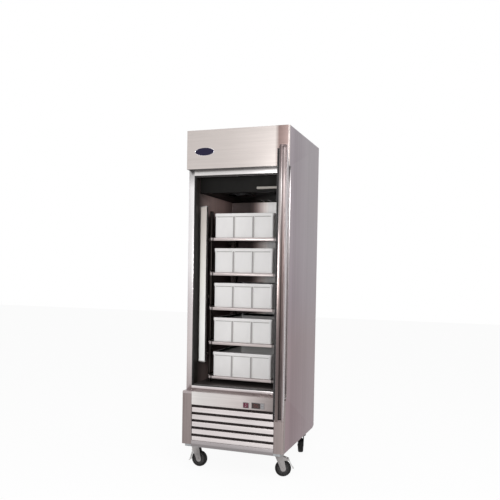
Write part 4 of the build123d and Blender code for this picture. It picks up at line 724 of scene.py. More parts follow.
def fold_sheet(bm, profile, upright, start, end, bend, inside, material_index=0):
    """Folds a strip of sheet along a profile, which is (x, y) if upright and (y, z) if it runs along x.

    inside is a point on the side that the thickness grows to.
    """
    def corner(point, place):
        return (*point, place) if upright else (place, *point)

    work = bmesh.new()
    verts = [work.verts.new(corner(point, start)) for point in profile]
    edges = [work.edges.new(pair) for pair in zip(verts, verts[1:])]
    made = bmesh.ops.extrude_edge_only(work, edges=edges)
    far = [item for item in made["geom"] if isinstance(item, bmesh.types.BMVert)]
    bmesh.ops.translate(work, verts=far, vec=corner((0, 0), end - start))
    folds = [edge for edge in work.edges if len(edge.link_faces) == 2]
    if bend:
        round_edges(work, bend, 4, edges=folds)
    grow_wall(work, inside, SHEET)
    join_mesh(bm, work, material_index=material_index)


print("edges rounded over", round(math.degrees(SHARP)), "degrees")

# %% [markdown]
# ## Rings
#
# A ring comes from its section. For a mitred frame, each point of the section becomes a rectangle, and
# neighbouring rectangles are bridged. For a turned part, the section is spun about an axis, as on a lathe,
# and the seam where the spin ends is merged.

# %% Rings
MERGE = 0.01


def mitred_ring(bm, profile, half_width, bottom, top):
    """A frame in the door's plane, from a section of (outset, y) points."""
    work = bmesh.new()
    loops = []
    for outset, y in profile:
        x = half_width + outset
        low = bottom - outset
        high = top + outset
        corners = ((-x, y, low), (x, y, low), (x, y, high), (-x, y, high))
        verts = [work.verts.new(corner) for corner in corners]
        loops.append([work.edges.new((verts[i], verts[(i + 1) % 4])) for i in range(4)])
    for loop, following in zip(loops, loops[1:] + loops[:1]):
        bmesh.ops.bridge_loops(work, edges=loop + following)
    bmesh.ops.recalc_face_normals(work, faces=work.faces)
    join_mesh(bm, work)


def turn_ring(bm, profile, centre, axis, steps=40, material_index=0):
    """Spins a profile of (radius, along the axis) points about an axis, like a lathe.

    It closes on itself, unless it starts and ends on the axis.
    """
    work = bmesh.new()
    axis = Vector(axis).normalized()
    arm = axis.orthogonal().normalized()
    verts = [work.verts.new(Vector(centre) + arm * radius + axis * place) for radius, place in profile]
    pairs = list(zip(verts, verts[1:] + verts[:1]))
    if profile[0][0] == 0 and profile[-1][0] == 0:
        pairs.pop()
    edges = [work.edges.new(pair) for pair in pairs]
    bmesh.ops.spin(
        work, geom=verts + edges, cent=centre, axis=axis, dvec=(0, 0, 0), angle=2 * math.pi, steps=steps,
        use_merge=True, use_duplicate=False,
    )
    bmesh.ops.remove_doubles(work, verts=work.verts, dist=MERGE)
    bmesh.ops.recalc_face_normals(work, faces=work.faces)
    join_mesh(bm, work, material_index=material_index)


print("seams merge within", MERGE, "mm")

# %% [markdown]
# ## Copies of CAD pieces
#
# A CAD mesh is loose triangles. A copy whose doubles are merged and whose flat triangles are joined can have
# its edges rounded like any other mesh.

# %% Copies of CAD pieces
def merged_copy(node, to_frame=TO_FRAME):
    """A CAD piece's mesh in millimetres, its triangles joined into faces."""
    bm = bmesh.new()
    bm.from_mesh(nodes[node].data)
    bm.transform(to_frame.inverted())
    bmesh.ops.remove_doubles(bm, verts=bm.verts, dist=MERGE)
    bmesh.ops.dissolve_limit(
        bm, angle_limit=math.radians(0.5), use_dissolve_boundaries=False, verts=bm.verts,
        edges=bm.edges, delimit={"NORMAL"},
    )
    for face in bm.faces:
        face.material_index = 0
    return bm


def soften(node, material, width):
    """A CAD piece with its edges broken and a finish of its own."""
    bm = merged_copy(node)
    round_edges(bm, width)
    set_down(node + "_dressed", bm, [material], node)


print("CAD meshes to copy", len(nodes))

# %% [markdown]
# ## Inner pieces
#
# The foam, the coils and the machinery show through slots at most. They keep their CAD mesh, which is
# right as it is, and only get a finish.

# %% Inner pieces keep their mesh
INNER_FINISHES = {
    "foam_insulation": foam_board, "door_foam": foam_board, "evaporator_coil": fin_metal,
    "condenser_coil": fin_metal, "drain_pan": galvanised, "condenser_shroud": galvanised,
    "hinge_bushes": bush_plastic, "base_frame": galvanised, "top_panel": steel_rear,
}
for node, finish in INNER_FINISHES.items():
    mesh = nodes[node].data
    mesh.materials.clear()
    mesh.materials.append(finish)
print("kept as CAD meshes", len(INNER_FINISHES))

# %% [markdown]
# ## Sheets and castings with broken edges
#
# A press brake and a deburring wheel leave a small round on every edge. A clean copy of the CAD piece,
# with a bevel of a fraction of a millimetre, shows just that, and it is the quickest honest way.

# %% Pieces whose edges are broken
DRESSED = {
    "back_panel": (steel_rear, 0.4), "rear_grille": (steel_rear, 0.4),
    "rack_uprights": (steel_rack_shade, 0.4), "rack_runners": (steel_rack_shade, 0.4),
    "drip_shelves": (steel_shelf, 0.5), "lamp_housings": (lamp_metal, 0.8),
    "cooler_housing": (cooler_near_black, 0.4), "cable_gland": (control_plastic, 0.6),
    "hinge_brackets": (hinge_metal, 0.5), "control_housings": (control_plastic, 0.5),
    "caster_plates": (zinc, 0.8), "door_grip": (grip_plastic, 0.4),
    "cooler_fan_blade": (fan_plastic, 0.4), "condenser_fan_blade": (fan_plastic, 0.4),
    "key_up": (key_plastic, 0.5), "key_down": (key_plastic, 0.5),
    "compressor": (motor_enamel, 0.8), "fan_motors": (motor_enamel, 0.6),
    "refrigerant_lines": (copper_tube, 0.2),
}
# The rear forks take painted shade in place of zinc.
for corner in CORNERS:
    if corner.startswith("front"):
        DRESSED[f"caster_fork_{corner}"] = (zinc, 0.7)
        DRESSED[f"brake_pedal_{corner}"] = (pedal_zinc, 0.6)
    else:
        DRESSED[f"caster_fork_{corner}"] = (fork_painted_shade, 0.7)
for node, (finish, width) in DRESSED.items():
    soften(node, finish, width)
print("dressed", len(DRESSED))

# %% [markdown]
# ## Pieces with a finish for each side
#
# The liner, the strips round the opening, the lamp covers and the door's inner pan look different on each
# of their sides, because light and shade fall on each side differently. Each gets several materials with that
# light and shade painted in, and the direction that a face looks in picks one of them.

# %% Liner, strips, lamp covers and door pan
def by_direction(node, width, materials, pick, to_frame):
    """A dressed copy whose faces take the material that pick gives for their normal."""
    bm = merged_copy(node, to_frame)
    round_edges(bm, width)
    bm.normal_update()
    for face in bm.faces:
        face.material_index = pick(face.normal)
    set_down(node + "_sides", bm, materials, node, to_frame)


MOSTLY = 0.7


def liner_side(normal):
    """0 for the back wall, 1 for a side wall, 2 for the floor and ceiling."""
    if abs(normal.y) > MOSTLY:
        return 0
    return 1 if abs(normal.x) > MOSTLY else 2


def strip_side_or_level(normal):
    return int(abs(normal.x) > abs(normal.z))


def right_side(normal):
    return int(normal.x > MOSTLY)


def either_edge(normal):
    return int(abs(normal.x) > MOSTLY)


SIDED = (
    ("inner_liner", 0.4, [steel_back, steel_wall, steel_floor_shade], liner_side, TO_FRAME),
    ("breaker_trim", 0.5, [strip_level, strip_side], strip_side_or_level, TO_FRAME),
    ("lamp_diffusers", 0.8, [lamp_cover, lamp_side_shade], right_side, TO_FRAME),
    ("door_liner", 0.5, [steel_inside, steel_pan], either_edge, DOOR_TO_FRAME),
)
for row in SIDED:
    by_direction(*row)
print("pieces with several finishes", len(SIDED))

# %% [markdown]
# ## Header
#
# The header is one sheet whose ends are bent round the corners of the cabinet. The round of that bend is
# what draws the bright upright line at the corner, so it is folded with a real radius, not a chamfer. The
# soffit behind its lower edge is a separate strip that hardly sees any light, and it is painted near black for
# that shade.

# %% Header with bent ends
HEADER_WRAP = 14.0
HEADER_BEND = 6.0
bm = bmesh.new()
fold_sheet(
    bm, [(-HALF_WIDTH, HEADER_WRAP), (-HALF_WIDTH, 0), (HALF_WIDTH, 0), (HALF_WIDTH, HEADER_WRAP)],
    True, HEADER_BOTTOM, ROOF, HEADER_BEND, (0, 30, ROOF - 100),
)
soffit_half = HALF_WIDTH - SHEET - 1
cut_block(
    bm, (-soffit_half, SHEET, HEADER_BOTTOM), (soffit_half, RECESS, HEADER_BOTTOM + SHEET), 0.3, 1, 1
)
set_down("header_bent_sheet", bm, [steel_front, steel_painted_shade], "header_fascia")
print("header from", round(HEADER_BOTTOM), "to", round(ROOF))

# %% [markdown]
# ## Badge
#
# The maker's oval is left bare: a flat enamel plate in a thin bright rim. The plate is a pulled disc and
# the rim a spun ring, and both are then squashed to an oval, which keeps the rim's section neat.

# %% Bare oval badge
badge_low, badge_high = span("badge_plate")
badge_middle = (badge_low + badge_high) / 2
BADGE_PROUD = badge_high.y - badge_low.y
RIM_WIDTH = 3.2
badge_half = (badge_high.x - badge_low.x) / 2
squash = (badge_high.z - badge_low.z) / 2 / badge_half
face_edge = badge_half - RIM_WIDTH
bm = bmesh.new()
flat = Matrix.Rotation(math.radians(90), 4, "X")
bmesh.ops.create_circle(bm, cap_ends=True, radius=face_edge, segments=64, matrix=flat)
pulled = bmesh.ops.extrude_face_region(bm, geom=bm.faces[:])
front = [item for item in pulled["geom"] if isinstance(item, bmesh.types.BMVert)]
bmesh.ops.translate(bm, verts=front, vec=(0, -BADGE_PROUD * 0.7, 0))
bmesh.ops.recalc_face_normals(bm, faces=bm.faces)
rim = [
    (face_edge, 0), (badge_half, 0), (badge_half - 0.4, -BADGE_PROUD * 0.7),
    (badge_half - RIM_WIDTH / 2, -BADGE_PROUD), (face_edge + 0.3, -BADGE_PROUD * 0.75),
]
turn_ring(bm, rim, (0, 0, 0), (0, 1, 0), 64, 1)
bm.transform(Matrix.Translation((badge_middle.x, 0, badge_middle.z)) @ Matrix.Diagonal((1, 1, squash, 1)))
set_down("badge_oval", bm, [badge_enamel, badge_rim], "badge_plate")
print("badge half width", round(badge_half, 1))

# %% [markdown]
# ## Side panels
#
# Each side is one large sheet: straight at the roof and back, cut back at the door's recess, and with its
# lower rear corner cut off. We draw that outline, pull it out to the sheet's thickness and round its
# edges, so both sides come from one outline with a mirror.

# %% Side panels
POST_WRAP = 16.0
POST_SEAM = 3.0
CORNER_DEPTH = 35.0
CORNER_HEIGHT = 12.0
HAIRLINE = 0.4
side_outline = [
    (POST_WRAP + POST_SEAM, SKIRT_BOTTOM), (POST_WRAP + POST_SEAM, LEDGE_TOP - 2 * SHEET),
    (RECESS, LEDGE_TOP - 2 * SHEET), (RECESS, HEADER_BOTTOM - HAIRLINE),
    (HEADER_WRAP + HAIRLINE, HEADER_BOTTOM - HAIRLINE), (HEADER_WRAP + HAIRLINE, ROOF), (DEPTH, ROOF),
    (DEPTH, SKIRT_BOTTOM + CORNER_HEIGHT), (DEPTH - CORNER_DEPTH, SKIRT_BOTTOM),
]
for side, node in ((1, "side_panel_right"), (-1, "side_panel_left")):
    bm = bmesh.new()
    verts = [bm.verts.new((side * (HALF_WIDTH - SHEET), y, z)) for y, z in side_outline]
    outline_face = bm.faces.new(verts)
    pulled = bmesh.ops.extrude_face_region(bm, geom=[outline_face])
    far = [item for item in pulled["geom"] if isinstance(item, bmesh.types.BMVert)]
    bmesh.ops.translate(bm, verts=far, vec=(side * SHEET, 0, 0))
    bmesh.ops.recalc_face_normals(bm, faces=bm.faces)
    round_edges(bm, 0.4)
    set_down(node + "_sheet", bm, [steel_side], node)
print("side panel depth", round(DEPTH - RECESS))

# %% [markdown]
# ## Frame round the door opening
#
# The gasket closes on a flat band of bright steel. The stiles, the head and the sill are separate strips,
# and each is brushed along its length. The piece has three materials: one for the stiles, one for the
# head and one for the sill.

# %% Stiles, head and sill
HEAD_STRIP = 35.0
STRIP_ROUND = 0.4
opening_low = LEDGE_TOP + SILL_HEIGHT
opening_high = HEADER_BOTTOM - HEAD_STRIP
strip_back = RECESS + SHEET
bm = bmesh.new()
for side in (-1, 1):
    near, far_x = sorted((side * STRIP_HALF, side * (HALF_WIDTH - SHEET)))
    cut_block(bm, (near, RECESS, LEDGE_TOP), (far_x, strip_back, HEADER_BOTTOM), STRIP_ROUND)
for low, high, index in ((opening_high, HEADER_BOTTOM, 1), (LEDGE_TOP, opening_low, 2)):
    cut_block(bm, (-STRIP_HALF, RECESS, low), (STRIP_HALF, strip_back, high), STRIP_ROUND, 2, index)
set_down("door_frame_strips", bm, [steel_frame, steel_head, steel_sill], "door_frame")
print("opening", round(opening_high - opening_low), "high")

# %% [markdown]
# ## Corner posts
#
# The posts stand on each side of the grille and are bent round the corner, which leaves a dark upright
# seam against the side panel. A short return at the inner edge frames the grille. One folded profile
# makes the right post, and its mirror the left one.

# %% Corner posts
POST_RETURN = 10.0
POST_NOSE = 14.0
POST_BEND = 3.0
bm = bmesh.new()
for side in (1, -1):
    profile = [
        (side * HALF_WIDTH, POST_WRAP), (side * HALF_WIDTH, POST_FRONT), (side * PANEL_HALF, POST_FRONT),
        (side * PANEL_HALF, POST_FRONT + POST_RETURN),
    ]
    fold_sheet(
        bm, profile, True, SKIRT_BOTTOM, LEDGE_TOP - POST_NOSE - HAIRLINE, POST_BEND, (side * 300, 20, 300)
    )
set_down("corner_posts_folded", bm, [steel_post_shade], "corner_posts")
print("posts", round(HALF_WIDTH - PANEL_HALF), "wide")

# %% [markdown]
# ## Ledge and control panel
#
# The middle of this sheet has two cut-outs for the controls, so a clean copy of the CAD piece is the right
# start. Its front upper edge is a tight bend. The two ends over the posts bend down with a wider round,
# which catches the light, so they are cut off the copy and folded anew.

# %% Ledge and control panel
LEDGE_BEND = 4.0
bm = merged_copy("control_panel")
for side in (-1, 1):
    cut = bmesh.ops.bisect_plane(
        bm, geom=bm.verts[:] + bm.edges[:] + bm.faces[:], plane_co=(side * PANEL_HALF, 0, 0),
        plane_no=(side, 0, 0), clear_outer=True, dist=0.0001,
    )
    rim = [item for item in cut["geom_cut"] if isinstance(item, bmesh.types.BMEdge)]
    rim = [edge for edge in rim if len(edge.link_faces) == 1]
    if rim:
        bmesh.ops.edgeloop_fill(bm, edges=rim)
nose = [
    edge for edge in bm.edges
    if all(vert.co.z > LEDGE_TOP - 0.2 and vert.co.y < PANEL_FRONT + 0.2 for vert in edge.verts)
]
round_edges(bm, LEDGE_BEND, 5, edges=nose)
for side in (1, -1):
    ends = sorted((side * PANEL_HALF, side * HALF_WIDTH))
    fold_sheet(
        bm, [(RECESS, LEDGE_TOP), (POST_FRONT, LEDGE_TOP), (POST_FRONT, LEDGE_TOP - POST_NOSE)],
        False, *ends, POST_NOSE - 1, (side * 300, RECESS, LEDGE_TOP - 40), 1,
    )
set_down("control_panel_folded", bm, [steel_panel, steel_cap_shade], "control_panel")
print("nose edges", len(nose))

# %% [markdown]
# ## Louvred grille
#
# Each louvre is a strip of sheet: a flat face with a hood at its upper edge, and a blade that slopes
# down behind the slot above it, so that air gets in and nobody looks through. The blades and the two narrow bars
# that hold the ends of the strips are painted near black, for the shade behind the slots. We make one of each per
# slot in a loop, and end with the rail along the bottom.

# %% Louvres and bottom rail
LOUVRE_PITCH = 46.0
LOUVRE_GAP = 17.0
LOUVRE_COUNT = 5
SIDE_BAR = 5.0
HOOD_DEPTH = 11.0
HOOD_RISE = 3.0
BLADE_DEPTH = 12.0
BLADE_DROP = 13.0
SLAT_INSET = 5.0
SLAT_BEND = 2.2
SLAT_END_GAP = 0.3
SEAM = 1.0
grille_top = CONTROL_BOTTOM - SEAM
grille_bottom = UNDERSIDE + RAIL_HEIGHT + SEAM
slat_front = PANEL_FRONT + SLAT_INSET
slat_half = PANEL_HALF - SHEET - SLAT_END_GAP
blade_half = PANEL_HALF - SIDE_BAR
bm = bmesh.new()
for number in range(LOUVRE_COUNT):
    slot_top = grille_top - LOUVRE_PITCH * number
    slat_top = slot_top - LOUVRE_GAP
    last = number == LOUVRE_COUNT - 1
    slat_bottom = grille_bottom if last else slot_top - LOUVRE_PITCH
    profile = [
        (slat_front + HOOD_DEPTH, slat_top + HOOD_RISE), (slat_front, slat_top), (slat_front, slat_bottom),
    ]
    behind = (0, slat_front + HOOD_DEPTH, (slat_top + slat_bottom) / 2 - 2)
    fold_sheet(bm, profile, False, -slat_half, slat_half, SLAT_BEND, behind)
    blade = [
        (slat_front + SHEET + HAIRLINE, slot_top - HAIRLINE),
        (slat_front + BLADE_DEPTH, slot_top - BLADE_DROP),
    ]
    fold_sheet(bm, blade, False, -blade_half, blade_half, 0, (0, slat_front + 30, slot_top), 2)
bar_y = slat_front + HOOD_DEPTH + HAIRLINE
for side in (-1, 1):
    near, far_x = sorted((side * PANEL_HALF, side * blade_half))
    cut_block(bm, (near, bar_y, grille_bottom), (far_x, bar_y + SHEET, grille_top), 0.3, 2, 2)
RAIL_RETURN = 12.0
RAIL_BEND = 4.0
rail = [
    (PANEL_FRONT + RAIL_RETURN, grille_bottom - SEAM), (PANEL_FRONT, grille_bottom - SEAM),
    (PANEL_FRONT, UNDERSIDE), (PANEL_FRONT + RAIL_RETURN, UNDERSIDE),
]
behind = (0, PANEL_FRONT + RAIL_RETURN, UNDERSIDE + RAIL_HEIGHT / 2)
fold_sheet(bm, rail, False, -PANEL_HALF, PANEL_HALF, RAIL_BEND, behind, 1)
set_down("louvres_folded", bm, [steel_slats, steel_rail, steel_painted_shade], "louvre_grille")
print("louvres", LOUVRE_COUNT)

# %% [markdown]
# ## Door
#
# The outer skin is a shallow tray folded from one sheet. It wraps the hinge edge and the free edge, and is
# closed by strips at its top and bottom. Modelled shut, it is then turned to where the door stands open.
# The free edge is split by a channel that fingers reach into, so the sheet stops short of it there. The
# broad face and the narrow edges mirror different things, so each has its own steel.

# %% Door skin
SKIN_BEND = 2.5
bm = bmesh.new()
profile = [
    (skin_low.x, grip_low.y), (skin_low.x, skin_low.y), (skin_high.x, skin_low.y),
    (skin_high.x, skin_high.y),
]
behind = (0, skin_high.y, (skin_low.z + skin_high.z) / 2)
fold_sheet(bm, profile, True, skin_low.z, skin_high.z, SKIN_BEND, behind)
for low, high in ((skin_low.z, skin_low.z + SHEET), (skin_high.z - SHEET, skin_high.z)):
    cut_block(
        bm, (skin_low.x + SHEET, skin_low.y + SHEET, low), (skin_high.x - SHEET, skin_high.y, high), 0.3, 1
    )
for low, high in ((skin_low.z, grip_low.z), (grip_high.z, skin_high.z)):
    cut_block(bm, (skin_low.x, grip_low.y, low), (skin_low.x + SHEET, skin_high.y, high), 0.3, 1)
bm.normal_update()
for face in bm.faces:
    face.material_index = int(face.normal.y < -MOSTLY)
set_down("door_skin_folded", bm, [steel_door, steel_face], "door_skin", DOOR_TO_FRAME)
print("door", round(skin_high.z - skin_low.z), "high")

# %% [markdown]
# ## Gasket
#
# A door gasket is an extruded soft profile: a foot in the door, two bellows folds and a magnet pocket that
# meets the frame. Its four sides are mitred at the corners, and the ring helper draws it from the profile
# alone. One fault is left: the two rectangles of the flat tip lie in one plane, and the bridge joins them
# to the wrong sides, so two faces span the opening. Bridging side by side would keep it open.

# %% Gasket with its folds
SEAL_WIDTH = 14.0
thick = seal_high.y - seal_low.y
outline = [
    (0.0, 0.0), (1.0, 0.0), (1.0, 0.25), (0.84, 0.34), (0.92, 0.45), (0.84, 0.56), (0.95, 0.66),
    (1.0, 0.75), (0.96, 0.97), (0.85, 1.0), (0.15, 1.0), (0.04, 0.97), (0.0, 0.75), (0.05, 0.66),
    (0.16, 0.56), (0.08, 0.45), (0.16, 0.34), (0.0, 0.25),
]
bm = bmesh.new()
mitred_ring(
    bm, [(across * SEAL_WIDTH, seal_low.y + out * thick) for across, out in outline],
    seal_high.x - SEAL_WIDTH, seal_low.z + SEAL_WIDTH, seal_high.z - SEAL_WIDTH,
)
set_down("gasket_profile", bm, [rubber_seal], "door_gasket", DOOR_TO_FRAME)
print("gasket", round(thick, 1), "thick")

# %% [markdown]
# ## Crates
#
# The shell of a crate starts as a block with rounded corners and loses its top, then gets a wall by
# Solidify. The heavier rim is the same shape without a bottom, so one helper makes both.

# %% An open shell
FLOOR_ROUND = 4.0


def open_shell(bm, low, high, corner, wall, open_bottom):
    """A rounded box without a top, with a wall that grows inwards."""
    work = bmesh.new()
    cut_block(work, low, high)
    upright = [e for e in work.edges if abs(e.verts[0].co.z - e.verts[1].co.z) > 1]
    round_edges(work, corner, 5, edges=upright)
    ends = [f for f in work.faces if abs(f.normal.z) > 0.5 and (f.normal.z > 0 or open_bottom)]
    bmesh.ops.delete(work, geom=ends, context="FACES_ONLY")
    if not open_bottom:
        floor_edges = [
            e for e in work.edges if len(e.link_faces) == 2 and all(v.co.z < low.z + MERGE for v in e.verts)
        ]
        round_edges(work, FLOOR_ROUND, 3, edges=floor_edges)
    grow_wall(work, (low + high) / 2, wall)
    join_mesh(bm, work)


first_low, first_high = span("crate_1")
print("crate", [round(v) for v in first_high - first_low], "mm")

# %% [markdown]
# ## One mould for five crates
#
# All five crates come from one mould. Narrow ribs stiffen the walls. Each front rib is a pair of fins with
# a groove between them, which reads as a grey line from a step away. The groove and the strip under the
# rim have a darker plastic, for the shade that such narrow steps have in the photo.

# %% One crate, five times
CRATE_STEP = 4.0
CRATE_WALL = 3.0
CRATE_RIM = 20.0
CRATE_CORNER = 14.0
RIM_ROUND = 1.8
RIB_WIDTH = 18.0
RIB_ROUND = 0.9
GROOVE = 12.0
SHADE_LINE = 4.0
FRONT_RIB_X = 65.5
SIDE_RIBS = 5


def crate_mould(low, high):
    bm = bmesh.new()
    step = Vector((CRATE_STEP, CRATE_STEP, 0))
    body_low = low + step
    body_high = high - step
    open_shell(bm, body_low, body_high - Vector((0, 0, 1)), CRATE_CORNER - CRATE_STEP, CRATE_WALL, False)
    rim_low = Vector((low.x, low.y, high.z - CRATE_RIM))
    work = bmesh.new()
    open_shell(work, rim_low, high, CRATE_CORNER, CRATE_STEP + CRATE_WALL, True)
    sharp = [e for e in work.edges if len(e.link_faces) == 2 and e.calc_face_angle(0) > 2 * SHARP]
    round_edges(work, RIM_ROUND, 3, edges=sharp)
    join_mesh(bm, work)
    fin = (RIB_WIDTH - GROOVE) / 2
    top = high.z - CRATE_RIM + 1
    bottom = low.z + 3
    for x in (-FRONT_RIB_X, FRONT_RIB_X):
        for shift in (-RIB_WIDTH / 2, GROOVE / 2):
            for y0, y1 in ((low.y + 0.3, body_low.y + 1), (body_high.y - 1, high.y - 0.3)):
                cut_block(bm, (x + shift, y0, bottom), (x + shift + fin, y1, top), RIB_ROUND)
        near, far_x = x - GROOVE / 2, x + GROOVE / 2
        cut_block(bm, (near, body_low.y - 0.6, bottom), (far_x, body_low.y + 1, top), material_index=1)
    shade_top = high.z - CRATE_RIM
    cut_block(
        bm, (body_low.x + CRATE_CORNER, body_low.y - 0.5, shade_top - SHADE_LINE),
        (body_high.x - CRATE_CORNER, body_low.y + 1, shade_top), material_index=1,
    )
    spacing = (body_high.y - body_low.y) / (SIDE_RIBS + 1)
    for rib in range(SIDE_RIBS):
        y = body_low.y + spacing * (rib + 1)
        for x0, x1 in ((low.x + 0.3, body_low.x + 1), (body_high.x - 1, high.x - 0.3)):
            cut_block(bm, (x0, y - RIB_WIDTH / 2, bottom), (x1, y + RIB_WIDTH / 2, top), RIB_ROUND)
    return bm


mould = crate_mould(first_low, first_high)
for number in range(1, 6):
    low, high = span(f"crate_{number}")
    bm = mould.copy()
    bmesh.ops.translate(bm, verts=bm.verts, vec=low - first_low)
    set_down(f"crate_{number}_moulded", bm, [crate_plastic, crate_shade], f"crate_{number}")
print("crate faces", len(mould.faces))
mould.free()

# %% [markdown]
# ## Caster wheels
#
# A wheel is a turned thing, so a lathe profile is the natural way: a soft tread with rounded shoulders,
# and a harder hub with a raised rim, a web and a boss round the axle. Both sections are the same on the left
# and the right, so one half is mirrored. They spin about the CAD wheel's axle, and stay true as it rolls.

# %% Turned wheels
TREAD = 13.0
BOSS = 13.0
AXLE_BORE = 5.05
for corner in CORNERS:
    to_frame, trail, radius = caster_frames[corner]
    low, high = span(f"caster_wheel_{corner}", to_frame)
    half = (high.y - low.y) / 2
    centre = (trail, 0, radius)
    tread_inner = radius - TREAD
    tread_side = [
        (tread_inner, half * 0.75), (radius - 5, half), (radius - 2, half * 0.86), (radius - 0.6, half * 0.6),
    ]
    hub_side = [
        (tread_inner, half * 0.75), (tread_inner - 2.5, half * 0.9), (tread_inner - 5, half * 0.75),
        (tread_inner - 7, half * 0.35), (BOSS + 2, half * 0.35), (BOSS, half * 0.9), (AXLE_BORE, half),
    ]
    tread = [(r, -y) for r, y in tread_side] + [(radius, 0)] + tread_side[::-1]
    hub = [(r, -y) for r, y in hub_side] + hub_side[::-1]
    bm = bmesh.new()
    turn_ring(bm, tread, centre, (0, 1, 0), 48)
    turn_ring(bm, hub, centre, (0, 1, 0), 48, 1)
    set_down(f"wheel_{corner}_turned", bm, [tyre_rubber, wheel_hub], f"caster_wheel_{corner}", to_frame)
print("wheel radius", radius)

# %% [markdown]
# ## Rocker switch
#
# The rocker keeps the CAD shape, because it has to turn in its housing. It gets the two plain marks that
# every power switch has, a bar for on and a ring for off, as thin raised shapes on its two slopes.

# %% Rocker with its marks
ROCKER_TILT = 7.0
pivot = joint_place("power_rocker_tilt")
TO_ROCKER = Matrix.Translation(pivot) @ Matrix.Rotation(math.radians(-ROCKER_TILT), 4, "X")
SLOPE_MIDDLE = 7.0
SLOPE_FRONT = -7.7
SLOPE = math.atan2(2.0, 13.8)
MARK_FRONT = -0.2
MARK_BACK = 0.35
bm = merged_copy("rocker_switch")
round_edges(bm, 0.5)
bar_mark = bmesh.new()
cut_block(bar_mark, (-0.9, MARK_FRONT, -4.0), (0.9, MARK_BACK, 4.0), 0.15, 1, 1)
ring_mark = bmesh.new()
ring = [(2.4, MARK_FRONT), (3.8, MARK_FRONT), (3.8, MARK_BACK), (2.4, MARK_BACK)]
turn_ring(ring_mark, ring, (0, 0, 0), (0, 1, 0), 24, 1)
for mark, side in ((bar_mark, 1), (ring_mark, -1)):
    place = Matrix.Translation((0, SLOPE_FRONT, side * SLOPE_MIDDLE)) @ Matrix.Rotation(side * SLOPE, 4, "X")
    join_mesh(bm, mark, TO_ROCKER @ place)
set_down("rocker_marked", bm, [rocker_red, mark_white], "rocker_switch")
print("rocker at", round(pivot.x), round(pivot.z))

# %% [markdown]
# ## Display
#
# The controller shows a temperature in seven-bar digits. A table says which bars each digit lights, and a
# loop places thin bars that stand a hair out of the dark window. They are dull red plastic here.

# %% Display and its digits
glass_low, glass_high = span("controller_display")
BARS = {
    "top": (0, 1, True), "middle": (0, 0, True), "bottom": (0, -1, True), "upper_left": (-1, 0.5, False),
    "upper_right": (1, 0.5, False), "lower_left": (-1, -0.5, False), "lower_right": (1, -0.5, False),
}
DIGITS = {
    "0": ("top", "bottom", "upper_left", "upper_right", "lower_left", "lower_right"),
    "5": ("top", "middle", "bottom", "upper_left", "lower_right"),
}
DIGIT_HEIGHT = 17.0
DIGIT_WIDTH = 9.0
BAR = 2.2
DOT = 2.2


def light_bar(bm, x, z, half_x, half_z):
    """A thin bar on the glass, sunk a little into it."""
    low = (x - half_x, glass_low.y - 0.15, z - half_z)
    high = (x + half_x, glass_low.y + 0.3, z + half_z)
    cut_block(bm, low, high, 0.1, 1, 1)


bm = bmesh.new()
cut_block(bm, glass_low, glass_high, 0.5)
glass_middle = (glass_low + glass_high) / 2
for place, digit in ((-8.0, "0"), (8.0, "5")):
    for bar in DIGITS[digit]:
        shift, rise, flat = BARS[bar]
        x = glass_middle.x + place + shift * DIGIT_WIDTH / 2
        z = glass_middle.z + rise * DIGIT_HEIGHT / 2
        half_x = DIGIT_WIDTH / 2 - BAR * 0.7 if flat else BAR / 2
        half_z = BAR / 2 if flat else DIGIT_HEIGHT / 4 - BAR * 0.5
        light_bar(bm, x, z, half_x, half_z)
light_bar(bm, glass_middle.x, glass_middle.z - DIGIT_HEIGHT / 2, DOT / 2, DOT / 2)
set_down("display_digits", bm, [glass_dark, digit_red], "controller_display")
print("display", round(glass_high.x - glass_low.x), "wide")

# %% [markdown]
# ## Screws of the rear grille
#
# Pan-head screws are small turned domes with a cross recess. A lathe profile makes the dome, and two thin
# dark bars sunk in it stand for the recess, which keeps each head to a few hundred faces. Where they stand
# comes from the CAD screws: vertices that lie close together belong to one screw.

# %% Pan-head screws
HEAD_RADIUS = 4.0
HEAD_HEIGHT = 2.0
SHANK_RADIUS = 1.9
SHANK = 8.0
work = merged_copy("panel_screws")
centres = []
for vert in work.verts:
    if not any((vert.co - centre).xz.length < 3 * HEAD_RADIUS for centre in centres):
        near = [other.co for other in work.verts if (other.co - vert.co).xz.length < 3 * HEAD_RADIUS]
        low = Vector([min(co[axis] for co in near) for axis in range(3)])
        high = Vector([max(co[axis] for co in near) for axis in range(3)])
        centres.append(Vector(((low.x + high.x) / 2, high.y - HEAD_HEIGHT, (low.z + high.z) / 2)))
work.free()
bm = bmesh.new()
for centre in centres:
    dome = [
        (0, -SHANK), (SHANK_RADIUS, -SHANK), (SHANK_RADIUS, 0), (HEAD_RADIUS, 0), (HEAD_RADIUS, 0.8),
        (HEAD_RADIUS * 0.85, 1.5), (HEAD_RADIUS * 0.5, 1.9), (0, HEAD_HEIGHT),
    ]
    turn_ring(bm, dome, centre, (0, 1, 0), 20)
    for half_x, half_z in ((2.0, 0.35), (0.35, 2.0)):
        low = centre + Vector((-half_x, HEAD_HEIGHT - 0.9, -half_z))
        high = centre + Vector((half_x, HEAD_HEIGHT - 0.02, half_z))
        cut_block(bm, low, high, material_index=1)
set_down("grille_screws_turned", bm, [hinge_metal, motor_enamel], "panel_screws")
print("screws", len(centres))

# %% [markdown]
# ## Background
#
# The photograph stands on plain white. The world is white for the camera and for reflections, and dimmer
# for lighting, so that the lamps and not the sky draw the shapes.

